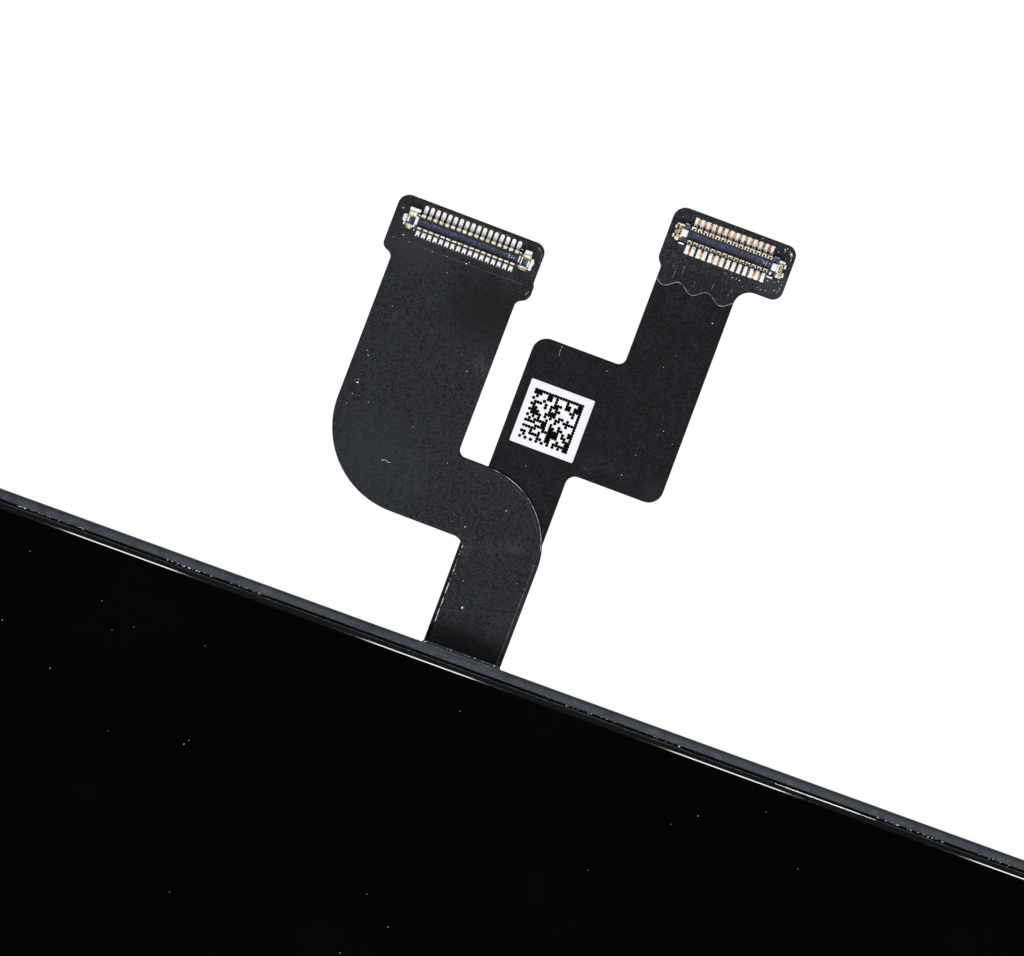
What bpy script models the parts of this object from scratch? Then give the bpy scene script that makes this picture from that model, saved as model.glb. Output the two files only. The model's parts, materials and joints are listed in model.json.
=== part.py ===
"""Phone LCD screen assembly, lying face up with its two flexible circuits beside it.

Metres, +Z up. The origin is the middle of the cover glass's front face, the long side runs
along X, and both flexible circuits leave through the long side at +Y.
"""

import math

import bmesh
import bpy
from mathutils import Matrix, Vector

# Frame that carries the whole screen
FRAME_LENGTH = 0.1410
FRAME_WIDTH = 0.0684
CORNER_RADIUS = 0.0093
RIM_WIDTH = 0.0005
RIM_DROP = 0.00012
RIM_ROUND = 0.00015
SEAT_WIDTH = 0.0014
SEAT_THICKNESS = 0.00035
EARPIECE_END_WIDTH = 0.0052
SKIRT_INSET = 0.0009
SKIRT_WALL = 0.0006
EDGE_CHAMFER = 0.00008
EXIT_LIP_REACH = 0.00012
EXIT_LIP_DROP = 0.00003

# Snap hooks moulded on the skirt
HOOK_LENGTH = 0.0026
HOOK_REACH = 0.00035
HOOK_HEIGHT = 0.0005
HOOK_PITCH = 0.0165
HOOK_DROP = 0.0006

# Cover glass and what bonds it to the frame
GLASS_THICKNESS = 0.0007
GLASS_SIDE_GAP = 0.00014
GLASS_CURVE_WIDTH = 0.00055
GLASS_CURVE_DROP = 0.00022
GLASS_BACK_CHAMFER = 0.00006
FRAME_TAPE_THICKNESS = 0.00008
FRAME_TAPE_MARGIN = 0.00015
LAYER_GAP = 0.00002

# Earpiece slot through the cover glass
SLOT_LENGTH = 0.0120
SLOT_WIDTH = 0.0011
SLOT_FROM_EDGE = 0.0034
MESH_THICKNESS = 0.00025
MESH_CLEARANCE = 0.00008
SENSOR_HOLE_DIAMETER = 0.0030
SENSOR_HOLE_OFFSET = 0.0105

# Display panel, front to back
PANEL_CLEARANCE = 0.00015
OPTICAL_ADHESIVE_THICKNESS = 0.00010
FRONT_POLARISER_THICKNESS = 0.00012
FILTER_GLASS_THICKNESS = 0.00020
TRANSISTOR_GLASS_THICKNESS = 0.00020
REAR_POLARISER_THICKNESS = 0.00012
BOND_LEDGE = 0.0024
DRIVER_CHIP_LENGTH = 0.0210
DRIVER_CHIP_WIDTH = 0.0009
DRIVER_CHIP_THICKNESS = 0.00018

# Backlight
TRAY_SHEET = 0.00014
TRAY_CLEARANCE = 0.00012
PRISM_SHEET_THICKNESS = 0.00013
DIFFUSER_THICKNESS = 0.00006
LIGHT_GUIDE_THICKNESS = 0.00034
REFLECTOR_THICKNESS = 0.00006
LED_STRIP_WIDTH = 0.0012
LED_BOARD_THICKNESS = 0.00008
LED_LENGTH = 0.0030
LED_DEPTH = 0.0007
LED_PITCH = 0.0052
LED_GAP = 0.00015

# Rear shield plate and the sheets on it
PLATE_THICKNESS = 0.00015
PLATE_CLEARANCE = 0.00020
SPACER_TAPE_WIDTH = 0.0012
GRAPHITE_THICKNESS = 0.00005
GRAPHITE_MARGIN = 0.0018
BEAD_WIDTH = 0.0024
BEAD_END_MARGIN = 0.0075
PLATE_HOLE_DIAMETER = 0.0016
PLATE_HOLE_FROM_EDGE = 0.0042

# Both flexible circuits
FLEX_THICKNESS = 0.00012
FLEX_EXIT_X = -0.0200
FLEX_TAIL = 0.0100
EXIT_CLEARANCE = 0.00035
FILM_THICKNESS = 0.00003
FILM_MARGIN = 0.00004

# Display circuit, measured from the point where it leaves the frame
DISPLAY_TURN_DEGREES = 0.80
DISPLAY_STEM_WIDTH = 0.00430
DISPLAY_STEM_SHIFT = -0.00009
DISPLAY_ARM_START = 0.00623
DISPLAY_ARM_WIDTH = 0.00428
DISPLAY_REACH = 0.00802
DISPLAY_NECK_WIDTH = 0.00741
DISPLAY_NECK_END = 0.01960
DISPLAY_SHOULDER = 0.00060
DISPLAY_HEAD_WIDTH = 0.00869
DISPLAY_HEAD_END = 0.02324
DISPLAY_OUTER_RADIUS = 0.00505
DISPLAY_INNER_RADIUS = 0.00450
DISPLAY_HEAD_RADIUS = 0.00057

# Touch circuit, which lies under the display circuit
TOUCH_TURN_DEGREES = 0.45
TOUCH_STEM_WIDTH = 0.00432
TOUCH_STEM_SHIFT = -0.00026
TOUCH_FLAG_START = 0.01174
TOUCH_FLAG_END = 0.01842
TOUCH_FLAG_WIDTH = 0.00966
TOUCH_NECK_WIDTH = 0.00446
TOUCH_HEAD_START = 0.02490
TOUCH_HEAD_END = 0.02807
TOUCH_HEAD_WIDTH = 0.00722
TOUCH_HEAD_OVERHANG = 0.00036
TOUCH_FLAG_RADIUS = 0.00086
TOUCH_HEAD_RADIUS = 0.00060
FILM_WAVE_POSITION = 0.02378
FILM_WAVE_HEIGHT = 0.00023
FILM_WAVE_PITCH = 0.00172

# Board-to-board connectors on the two heads
CONTACT_PITCH = 0.00035
CONTACT_WIDTH = 0.00020
CONTACT_METAL = 0.00003
CONTACT_TAIL = 0.00046
CONTACT_TAIL_HEIGHT = 0.00007
DISPLAY_CONTACTS = 17
TOUCH_CONTACTS = 14
HOUSING_WIDTH = 0.00090
HOUSING_HEIGHT = 0.00042
HOUSING_WALL = 0.00022
HOUSING_FLOOR = 0.00012
HOUSING_END = 0.00085
HOUSING_END_WALL = 0.00034
HOLD_DOWN_METAL = 0.00012
HOLD_DOWN_LENGTH = 0.00055
HOLD_DOWN_HEIGHT = 0.00036
HOLD_DOWN_TAB = 0.00020
HOLD_DOWN_TAB_WIDTH = 0.00044
DISPLAY_CONNECTOR_POSITION = 0.02200
TOUCH_CONNECTOR_POSITION = 0.02672
TOUCH_CONNECTOR_SHIFT = -0.00001

# Paper label on the touch circuit
LABEL_LENGTH = 0.00379
LABEL_WIDTH = 0.00374
LABEL_THICKNESS = 0.00006
LABEL_POSITION = 0.01420
LABEL_SHIFT = 0.00002
LABEL_ROUND = 0.00012

# How finely the round corners are divided
CORNER_STEPS = 8
ARC_STEP = 0.00055
DRAW_SCALE = 1000.0
WELD = 0.0000001

# Levels, from the front face down to the surface it lies on
RIM_TOP = -RIM_DROP
GLASS_BACK = -GLASS_THICKNESS
FRAME_TAPE_TOP = GLASS_BACK - LAYER_GAP
SEAT_TOP = FRAME_TAPE_TOP - FRAME_TAPE_THICKNESS - LAYER_GAP
SEAT_UNDER = SEAT_TOP - SEAT_THICKNESS
ADHESIVE_TOP = GLASS_BACK - LAYER_GAP
FRONT_POLARISER_TOP = ADHESIVE_TOP - OPTICAL_ADHESIVE_THICKNESS - LAYER_GAP
FILTER_TOP = FRONT_POLARISER_TOP - FRONT_POLARISER_THICKNESS - LAYER_GAP
TRANSISTOR_TOP = FILTER_TOP - FILTER_GLASS_THICKNESS - LAYER_GAP
REAR_POLARISER_TOP = TRANSISTOR_TOP - TRANSISTOR_GLASS_THICKNESS - LAYER_GAP
TRAY_TOP = REAR_POLARISER_TOP - REAR_POLARISER_THICKNESS - LAYER_GAP
PRISM_TOP = TRAY_TOP
DIFFUSER_TOP = PRISM_TOP - PRISM_SHEET_THICKNESS - LAYER_GAP
GUIDE_TOP = DIFFUSER_TOP - DIFFUSER_THICKNESS - LAYER_GAP
REFLECTOR_TOP = GUIDE_TOP - LIGHT_GUIDE_THICKNESS - LAYER_GAP
TRAY_FLOOR = REFLECTOR_TOP - REFLECTOR_THICKNESS - LAYER_GAP
TRAY_BOTTOM = TRAY_FLOOR - TRAY_SHEET
DISPLAY_FLEX_TOP = TRAY_BOTTOM - LAYER_GAP
DISPLAY_FLEX_BOTTOM = DISPLAY_FLEX_TOP - FLEX_THICKNESS
FILM_TOP = DISPLAY_FLEX_BOTTOM - LAYER_GAP
FILM_BOTTOM = FILM_TOP - FILM_THICKNESS
TOUCH_FLEX_TOP = FILM_BOTTOM - LAYER_GAP
TOUCH_FLEX_BOTTOM = TOUCH_FLEX_TOP - FLEX_THICKNESS
PLATE_TOP = TOUCH_FLEX_BOTTOM - LAYER_GAP
PLATE_BOTTOM = PLATE_TOP - PLATE_THICKNESS
GRAPHITE_TOP = PLATE_BOTTOM - LAYER_GAP
REST = GRAPHITE_TOP - GRAPHITE_THICKNESS

# Outlines shared by the layers
PANEL_INSET = RIM_WIDTH + SEAT_WIDTH + PANEL_CLEARANCE
PANEL_START = -FRAME_LENGTH / 2 + RIM_WIDTH + EARPIECE_END_WIDTH + PANEL_CLEARANCE
PANEL_END = FRAME_LENGTH / 2 - PANEL_INSET
PANEL_HALF_WIDTH = FRAME_WIDTH / 2 - PANEL_INSET
PANEL_RADIUS = CORNER_RADIUS - PANEL_INSET
PANEL_START_RADIUS = max(0.0012, CORNER_RADIUS - RIM_WIDTH - EARPIECE_END_WIDTH)
EXIT_Y = FRAME_WIDTH / 2


def clear_scene():
    """Remove whatever the scene holds."""
    for thing in list(bpy.data.objects):
        bpy.data.objects.remove(thing, do_unlink=True)
    for group in list(bpy.data.collections):
        bpy.data.collections.remove(group)


clear_scene()
PARTS = bpy.data.collections.new("phone_lcd_screen_assembly")
CUTTERS = bpy.data.collections.new("cutters")
bpy.context.scene.collection.children.link(PARTS)
bpy.context.scene.collection.children.link(CUTTERS)


def make_material(name, colour, roughness, metallic=0.0):
    """Principled material from an sRGB hex colour."""
    found = bpy.data.materials.get(name)
    if found:
        return found
    channels = [int(colour[i:i + 2], 16) / 255 for i in (0, 2, 4)]
    linear = [c / 12.92 if c <= 0.04045 else ((c + 0.055) / 1.055) ** 2.4 for c in channels]
    made = bpy.data.materials.new(name)
    made.use_nodes = True
    shader = made.node_tree.nodes["Principled BSDF"]
    shader.inputs["Base Color"].default_value = (*linear, 1.0)
    shader.inputs["Roughness"].default_value = roughness
    shader.inputs["Metallic"].default_value = metallic
    made.diffuse_color = (*linear, 1.0)
    return made


FINISHES = {
    "cover_glass": make_material("black_cover_glass", "08080A", 0.05),
    "clear": make_material("clear_film", "C9D2D6", 0.15),
    "polariser": make_material("polariser_film", "1C1D22", 0.25),
    "panel_glass": make_material("panel_glass", "4A5157", 0.10),
    "chip": make_material("driver_silicon", "2A2C33", 0.30),
    "guide": make_material("light_guide_acrylic", "DDE6EA", 0.12),
    "white_film": make_material("white_reflector", "F2F2EE", 0.40),
    "tape": make_material("black_tape", "1A1A1C", 0.70),
    "frame": make_material("slate_frame_plastic", "474D54", 0.42),
    "steel": make_material("plain_steel", "A9ABAD", 0.32, 1.0),
    "graphite": make_material("graphite_sheet", "26272A", 0.55),
    "board": make_material("circuit_coverlay", "2B2B30", 0.62),
    "shield": make_material("shield_film", "252429", 0.60),
    "housing": make_material("navy_connector_plastic", "30334A", 0.45),
    "tin": make_material("tinned_bronze", "D9D6CB", 0.28, 1.0),
    "paper": make_material("label_paper", "F4F4F2", 0.60),
    "mesh": make_material("earpiece_mesh", "17181A", 0.60),
}


def adopt(thing, finish, shaded_round=True):
    """Put an object in the parts collection with its finish."""
    for group in list(thing.users_collection):
        group.objects.unlink(thing)
    PARTS.objects.link(thing)
    thing.data.materials.clear()
    thing.data.materials.append(FINISHES[finish])
    if shaded_round:
        thing.data.shade_smooth()
        thing.data.set_sharp_from_angle(angle=math.radians(30))
    return thing


def tool(thing, group=None):
    """Keep an object as a cutting or joining shape only."""
    for old in list(thing.users_collection):
        old.objects.unlink(thing)
    (group or CUTTERS).objects.link(thing)
    thing.hide_render = True
    thing.display_type = 'WIRE'
    return thing


def boolean(target, other, operation='DIFFERENCE'):
    """Cut, join or trim one object with another, or with a whole collection."""
    modifier = target.modifiers.new(operation.lower(), 'BOOLEAN')
    modifier.operation = operation
    modifier.solver = 'EXACT'
    if isinstance(other, bpy.types.Collection):
        modifier.operand_type = 'COLLECTION'
        modifier.collection = other
    else:
        modifier.object = other
    return target


def box(name, low, high):
    """Block between two opposite corners."""
    low = Vector(low)
    high = Vector(high)
    bpy.ops.mesh.primitive_cube_add(size=1.0, location=(0.0, 0.0, 0.0))
    made = bpy.context.object
    made.name = name
    size = high - low
    made.data.transform(Matrix.Diagonal((size.x, size.y, size.z, 1.0)))
    made.location = (low + high) / 2
    return made


def filleted(corners):
    """Outline through the corners (x, y, radius), each rounded by its radius."""
    points = []
    count = len(corners)
    for index, (x, y, radius) in enumerate(corners):
        corner = Vector((x, y))
        before = Vector(corners[index - 1][:2]) - corner
        after = Vector(corners[(index + 1) % count][:2]) - corner
        if radius <= 0.0:
            points.append(corner)
            continue
        before.normalize()
        after.normalize()
        half = before.angle(after) / 2
        reach = radius / math.tan(half)
        centre = corner + (before + after).normalized() * (radius / math.sin(half))
        first = corner + before * reach - centre
        turn = first.angle_signed(corner + after * reach - centre)
        steps = max(3, min(14, round(abs(turn) * radius / ARC_STEP)))
        for step in range(steps + 1):
            angle = -turn * step / steps
            spoke = Matrix.Rotation(angle, 2) @ first
            points.append(centre + spoke)
    return points


def rounded_box_outline(x_low, x_high, half_width, radius_low, radius_high):
    """Rectangle centred on the X axis, with one radius for each end."""
    return filleted([
        (x_low, -half_width, radius_low),
        (x_high, -half_width, radius_high),
        (x_high, half_width, radius_high),
        (x_low, half_width, radius_low),
    ])


def sheet(name, outlines, bottom, top):
    """Flat piece between two levels: the first outline, less the others.

    The outline is drawn enlarged, because the fill of a curve joins very close points.
    """
    curve = bpy.data.curves.new(name, 'CURVE')
    curve.dimensions = '2D'
    curve.fill_mode = 'BOTH'
    curve.extrude = (top - bottom) / 2 * DRAW_SCALE
    for outline in outlines:
        spline = curve.splines.new('POLY')
        spline.points.add(len(outline) - 1)
        for point, place in zip(spline.points, outline):
            point.co = (place[0] * DRAW_SCALE, place[1] * DRAW_SCALE, 0.0, 1.0)
        spline.use_cyclic_u = True
    drawn = bpy.data.objects.new(name + "_outline", curve)
    CUTTERS.objects.link(drawn)
    graph = bpy.context.evaluated_depsgraph_get()
    mesh = bpy.data.meshes.new_from_object(drawn.evaluated_get(graph))
    bpy.data.objects.remove(drawn, do_unlink=True)
    mesh.transform(Matrix.Diagonal((1 / DRAW_SCALE, 1 / DRAW_SCALE, 1 / DRAW_SCALE, 1.0)))
    body = bmesh.new()
    body.from_mesh(mesh)
    bmesh.ops.remove_doubles(body, verts=body.verts, dist=WELD)
    bmesh.ops.recalc_face_normals(body, faces=body.faces)
    body.to_mesh(mesh)
    body.free()
    made = bpy.data.objects.new(name, mesh)
    made.location = (0.0, 0.0, (bottom + top) / 2)
    CUTTERS.objects.link(made)
    return made


def swept(name, profile, closed):
    """Sweep a profile of (inset from the frame's outer edge, level) round the frame's outline.

    A closed profile gives a ring. An open one is a plate's edge, and its two rims are filled.
    """
    half_length = FRAME_LENGTH / 2
    half_width = FRAME_WIDTH / 2
    straight_x = FRAME_LENGTH - 2 * CORNER_RADIUS
    straight_y = FRAME_WIDTH - 2 * CORNER_RADIUS
    body = bmesh.new()
    start = [body.verts.new((CORNER_RADIUS - half_length, inset - half_width, level))
             for inset, level in profile]
    pairs = list(zip(start, start[1:]))
    if closed:
        pairs.append((start[-1], start[0]))
    edges = [body.edges.new(pair) for pair in pairs]
    verts = start
    sides = [
        (Vector((straight_x, 0, 0)), (half_length - CORNER_RADIUS, CORNER_RADIUS - half_width)),
        (Vector((0, straight_y, 0)), (half_length - CORNER_RADIUS, half_width - CORNER_RADIUS)),
        (Vector((-straight_x, 0, 0)), (CORNER_RADIUS - half_length, half_width - CORNER_RADIUS)),
        (Vector((0, -straight_y, 0)), (CORNER_RADIUS - half_length, CORNER_RADIUS - half_width)),
    ]
    for run, centre in sides:
        grown = bmesh.ops.extrude_edge_only(body, edges=edges)["geom"]
        verts = [item for item in grown if isinstance(item, bmesh.types.BMVert)]
        edges = [item for item in grown if isinstance(item, bmesh.types.BMEdge)
                 and item.verts[0] in verts and item.verts[1] in verts]
        bmesh.ops.translate(body, verts=verts, vec=run)
        turned = bmesh.ops.spin(
            body, geom=verts + edges, cent=(*centre, 0.0), axis=(0, 0, 1),
            angle=math.pi / 2, steps=CORNER_STEPS, use_duplicate=False)["geom_last"]
        verts = [item for item in turned if isinstance(item, bmesh.types.BMVert)]
        edges = [item for item in turned if isinstance(item, bmesh.types.BMEdge)]
    bmesh.ops.remove_doubles(body, verts=body.verts, dist=WELD)
    if not closed:
        rims = [edge for edge in body.edges if len(edge.link_faces) == 1]
        bmesh.ops.holes_fill(body, edges=rims, sides=0)
    bmesh.ops.recalc_face_normals(body, faces=body.faces)
    mesh = bpy.data.meshes.new(name)
    body.to_mesh(mesh)
    body.free()
    made = bpy.data.objects.new(name, mesh)
    CUTTERS.objects.link(made)
    return made


def quarter(centre_x, centre_y, radius_x, radius_y, start, stop, steps):
    """Points on an arc, from one angle to another in degrees."""
    points = []
    for step in range(steps + 1):
        angle = math.radians(start + (stop - start) * step / steps)
        points.append((centre_x + radius_x * math.cos(angle),
                       centre_y + radius_y * math.sin(angle)))
    return points


# Cover glass: its front edge falls away in a shallow curve
glass_inset = RIM_WIDTH + GLASS_SIDE_GAP
curve_start = glass_inset + GLASS_CURVE_WIDTH
glass_profile = quarter(curve_start, -GLASS_CURVE_DROP, GLASS_CURVE_WIDTH,
                        GLASS_CURVE_DROP, 90, 180, 6)
glass_profile.append((glass_inset, GLASS_BACK + GLASS_BACK_CHAMFER))
glass_profile.append((glass_inset + GLASS_BACK_CHAMFER, GLASS_BACK))
cover_glass = adopt(swept("cover_glass", glass_profile, closed=False), "cover_glass")

slot_x = -FRAME_LENGTH / 2 + SLOT_FROM_EDGE
slot_half = SLOT_WIDTH / 2
slot_outline = filleted([
    (slot_x - slot_half, -SLOT_LENGTH / 2, slot_half * 0.98),
    (slot_x + slot_half, -SLOT_LENGTH / 2, slot_half * 0.98),
    (slot_x + slot_half, SLOT_LENGTH / 2, slot_half * 0.98),
    (slot_x - slot_half, SLOT_LENGTH / 2, slot_half * 0.98),
])
slot_cutter = tool(sheet("earpiece_slot_cutter", [slot_outline], SEAT_UNDER * 2, 0.001))
boolean(cover_glass, slot_cutter)

# Frame: rim, glass seat, and the inset skirt that goes into the phone's housing
skirt_inner = SKIRT_INSET + SKIRT_WALL
seat_inner = RIM_WIDTH + SEAT_WIDTH
frame_profile = quarter(RIM_ROUND, RIM_TOP - RIM_ROUND, RIM_ROUND, RIM_ROUND, 180, 90, 3)
frame_profile += [
    (RIM_WIDTH, RIM_TOP),
    (RIM_WIDTH, SEAT_TOP),
    (seat_inner, SEAT_TOP),
    (seat_inner, SEAT_UNDER),
    (skirt_inner, SEAT_UNDER),
    (skirt_inner, PLATE_BOTTOM),
    (SKIRT_INSET + EDGE_CHAMFER, PLATE_BOTTOM),
    (SKIRT_INSET, PLATE_BOTTOM + EDGE_CHAMFER),
    (SKIRT_INSET, SEAT_UNDER),
    (EDGE_CHAMFER, SEAT_UNDER),
    (0.0, SEAT_UNDER + EDGE_CHAMFER),
]
bezel_frame = adopt(swept("bezel_frame", frame_profile, closed=True), "frame")

# The end bar behind the earpiece, which closes the seat across that end
bar_start = -FRAME_LENGTH / 2 + RIM_WIDTH + SEAT_WIDTH / 2
bar_end = -FRAME_LENGTH / 2 + RIM_WIDTH + EARPIECE_END_WIDTH
bar_half = FRAME_WIDTH / 2 - RIM_WIDTH - SEAT_WIDTH / 2
bar_radius = CORNER_RADIUS - RIM_WIDTH - SEAT_WIDTH / 2
bar_outline = filleted([
    (bar_start, -bar_half, bar_radius),
    (bar_end + bar_radius, -bar_half, 0.0),
    (bar_end + bar_radius, bar_half, 0.0),
    (bar_start, bar_half, bar_radius),
])
end_bar = tool(sheet("end_bar", [bar_outline], SEAT_UNDER, SEAT_TOP))
bar_trim = tool(box("end_bar_trim", (bar_end, -PANEL_HALF_WIDTH * 2, SEAT_UNDER * 2),
                    (bar_end + 2 * CORNER_RADIUS, PANEL_HALF_WIDTH * 2, 0.001)))
boolean(end_bar, bar_trim)
boolean(bezel_frame, end_bar, 'UNION')
boolean(bezel_frame, slot_cutter)
bpy.ops.mesh.primitive_cylinder_add(
    vertices=20, radius=SENSOR_HOLE_DIAMETER / 2, depth=SEAT_THICKNESS * 4,
    location=(slot_x, SENSOR_HOLE_OFFSET, (SEAT_TOP + SEAT_UNDER) / 2))
sensor_cutter = bpy.context.object
sensor_cutter.name = "sensor_hole_cutter"
boolean(bezel_frame, tool(sensor_cutter))

# Lip that the rim has where the two flexible circuits pass out under it
exit_left = min(DISPLAY_STEM_SHIFT - DISPLAY_STEM_WIDTH / 2, TOUCH_STEM_SHIFT - TOUCH_STEM_WIDTH / 2)
exit_right = max(DISPLAY_STEM_SHIFT + DISPLAY_STEM_WIDTH / 2, TOUCH_STEM_SHIFT + TOUCH_STEM_WIDTH / 2)
lip_top = RIM_TOP - EXIT_LIP_DROP
lip_under = SEAT_UNDER + EXIT_LIP_DROP
lip_outline = [
    (-RIM_WIDTH / 2, lip_under),
    (EXIT_LIP_REACH - EDGE_CHAMFER, lip_under),
    (EXIT_LIP_REACH, lip_under + EDGE_CHAMFER),
]
lip_outline += quarter(EXIT_LIP_REACH - RIM_ROUND, lip_top - RIM_ROUND, RIM_ROUND, RIM_ROUND, 0, 90, 3)
lip_outline.append((-RIM_WIDTH / 2, lip_top))
exit_lip = tool(sheet("exit_lip", [lip_outline], exit_left, exit_right))
exit_lip.data.transform(Matrix.Rotation(math.pi / 2, 4, 'X'))
exit_lip.data.transform(Matrix.Rotation(math.pi / 2, 4, 'Z'))
exit_lip.location = (FLEX_EXIT_X + (exit_left + exit_right) / 2, EXIT_Y, 0.0)
boolean(bezel_frame, exit_lip, 'UNION')

# Notch in the skirt, below that lip
exit_cutter = tool(box(
    "exit_notch_cutter",
    (FLEX_EXIT_X + exit_left - EXIT_CLEARANCE, EXIT_Y - SKIRT_INSET - 2 * SKIRT_WALL, REST - 0.001),
    (FLEX_EXIT_X + exit_right + EXIT_CLEARANCE, EXIT_Y - SKIRT_INSET / 2, DISPLAY_FLEX_TOP + EXIT_CLEARANCE)))
boolean(bezel_frame, exit_cutter)

# Snap hooks in a row along each side and each end of the skirt
HOOKS = bpy.data.collections.new("snap_hooks")
CUTTERS.children.link(HOOKS)
hook_top = SEAT_UNDER - HOOK_DROP
hook_outline = [
    (-SKIRT_WALL / 2, hook_top),
    (HOOK_REACH * 0.75, hook_top),
    (HOOK_REACH, hook_top - HOOK_HEIGHT * 0.3),
    (0.0, hook_top - HOOK_HEIGHT),
    (-SKIRT_WALL / 2, hook_top - HOOK_HEIGHT),
]
hook = sheet("snap_hook", [hook_outline], -HOOK_LENGTH / 2, HOOK_LENGTH / 2)
hook_mesh = hook.data
hook_mesh.transform(Matrix.Rotation(math.pi / 2, 4, 'X'))
bpy.data.objects.remove(hook, do_unlink=True)


def place_hook(x, y, heading):
    """Stand one hook on the skirt, facing the heading in degrees."""
    made = bpy.data.objects.new("snap_hook", hook_mesh)
    made.location = (x, y, 0.0)
    made.rotation_euler = (0.0, 0.0, math.radians(heading))
    tool(made, HOOKS)


half_count = int((FRAME_LENGTH / 2 - CORNER_RADIUS - HOOK_LENGTH) / HOOK_PITCH)
for step in range(-half_count, half_count + 1):
    hook_x = step * HOOK_PITCH
    place_hook(hook_x, SKIRT_INSET - FRAME_WIDTH / 2, -90)
    reach = HOOK_LENGTH / 2 + EXIT_CLEARANCE * 3
    clear = hook_x + reach < FLEX_EXIT_X + exit_left or hook_x - reach > FLEX_EXIT_X + exit_right
    if clear:
        place_hook(hook_x, FRAME_WIDTH / 2 - SKIRT_INSET, 90)
end_count = int((FRAME_WIDTH / 2 - CORNER_RADIUS - HOOK_LENGTH) / HOOK_PITCH)
for step in range(-end_count, end_count + 1):
    place_hook(FRAME_LENGTH / 2 - SKIRT_INSET, step * HOOK_PITCH, 0)
    place_hook(SKIRT_INSET - FRAME_LENGTH / 2, step * HOOK_PITCH, 180)
boolean(bezel_frame, HOOKS, 'UNION')

# Adhesive ring between the glass and its seat
tape_inset = RIM_WIDTH + GLASS_SIDE_GAP + GLASS_BACK_CHAMFER + FRAME_TAPE_MARGIN
tape_inner = seat_inner - FRAME_TAPE_MARGIN
frame_tape = adopt(sheet(
    "frame_tape",
    [rounded_box_outline(tape_inset - FRAME_LENGTH / 2, FRAME_LENGTH / 2 - tape_inset,
                         FRAME_WIDTH / 2 - tape_inset, CORNER_RADIUS - tape_inset, CORNER_RADIUS - tape_inset),
     rounded_box_outline(tape_inner - FRAME_LENGTH / 2, FRAME_LENGTH / 2 - tape_inner,
                         FRAME_WIDTH / 2 - tape_inner, CORNER_RADIUS - tape_inner, CORNER_RADIUS - tape_inner)],
    FRAME_TAPE_TOP - FRAME_TAPE_THICKNESS, FRAME_TAPE_TOP), "tape")

# Fine metal mesh that stands in the earpiece slot
mesh_half = slot_half - MESH_CLEARANCE
mesh_reach = SLOT_LENGTH / 2 - MESH_CLEARANCE
earpiece_mesh = adopt(sheet(
    "earpiece_mesh",
    [filleted([(slot_x - mesh_half, -mesh_reach, mesh_half * 0.95),
               (slot_x + mesh_half, -mesh_reach, mesh_half * 0.95),
               (slot_x + mesh_half, mesh_reach, mesh_half * 0.95),
               (slot_x - mesh_half, mesh_reach, mesh_half * 0.95)])],
    GLASS_BACK, GLASS_BACK + MESH_THICKNESS), "mesh")


def layer(name, top, thickness, finish, start=PANEL_START, end=PANEL_END, inset=0.0):
    """One full-size layer of the panel or the backlight."""
    outline = rounded_box_outline(start + inset, end - inset, PANEL_HALF_WIDTH - inset,
                                  PANEL_START_RADIUS, PANEL_RADIUS - inset)
    return adopt(sheet(name, [outline], top - thickness, top), finish)


# Display panel: the rear glass reaches past the front one at the driver end
filter_end = PANEL_END - BOND_LEDGE
layer("optical_adhesive", ADHESIVE_TOP, OPTICAL_ADHESIVE_THICKNESS, "clear", end=filter_end)
layer("front_polariser", FRONT_POLARISER_TOP, FRONT_POLARISER_THICKNESS, "polariser", end=filter_end)
layer("colour_filter_glass", FILTER_TOP, FILTER_GLASS_THICKNESS, "panel_glass", end=filter_end)
layer("transistor_glass", TRANSISTOR_TOP, TRANSISTOR_GLASS_THICKNESS, "panel_glass")
layer("rear_polariser", REAR_POLARISER_TOP, REAR_POLARISER_THICKNESS, "polariser", end=filter_end)
chip_x = PANEL_END - BOND_LEDGE / 2
chip_base = TRANSISTOR_TOP + LAYER_GAP
driver_chip = adopt(box(
    "driver_chip",
    (chip_x - DRIVER_CHIP_WIDTH / 2, -DRIVER_CHIP_LENGTH / 2, chip_base),
    (chip_x + DRIVER_CHIP_WIDTH / 2, DRIVER_CHIP_LENGTH / 2, chip_base + DRIVER_CHIP_THICKNESS)),
    "chip", shaded_round=False)

# Backlight: a folded steel tray round the light guide and its sheets
tray_wall = TRAY_SHEET + TRAY_CLEARANCE
backlight_tray = layer("backlight_tray", TRAY_TOP, TRAY_TOP - TRAY_BOTTOM, "steel")
pocket_outline = rounded_box_outline(
    PANEL_START + TRAY_SHEET, PANEL_END - TRAY_SHEET, PANEL_HALF_WIDTH - TRAY_SHEET,
    PANEL_START_RADIUS - TRAY_SHEET, PANEL_RADIUS - TRAY_SHEET)
boolean(backlight_tray, tool(sheet("tray_pocket_cutter", [pocket_outline], TRAY_FLOOR, TRAY_TOP + 0.001)))
guide_end = PANEL_END - tray_wall - LED_STRIP_WIDTH - LED_GAP
inner_start = PANEL_START + tray_wall
inner_half = PANEL_HALF_WIDTH - tray_wall


def backlight_sheet(name, top, thickness, finish):
    """One sheet that lies in the tray beside the light strip."""
    outline = rounded_box_outline(inner_start, guide_end, inner_half,
                                  PANEL_START_RADIUS - TRAY_SHEET, PANEL_RADIUS - tray_wall)
    return adopt(sheet(name, [outline], top - thickness, top), finish)


backlight_sheet("prism_sheet", PRISM_TOP, PRISM_SHEET_THICKNESS, "clear")
backlight_sheet("diffuser_sheet", DIFFUSER_TOP, DIFFUSER_THICKNESS, "white_film")
backlight_sheet("light_guide", GUIDE_TOP, LIGHT_GUIDE_THICKNESS, "guide")
backlight_sheet("reflector_sheet", REFLECTOR_TOP, REFLECTOR_THICKNESS, "white_film")

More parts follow.
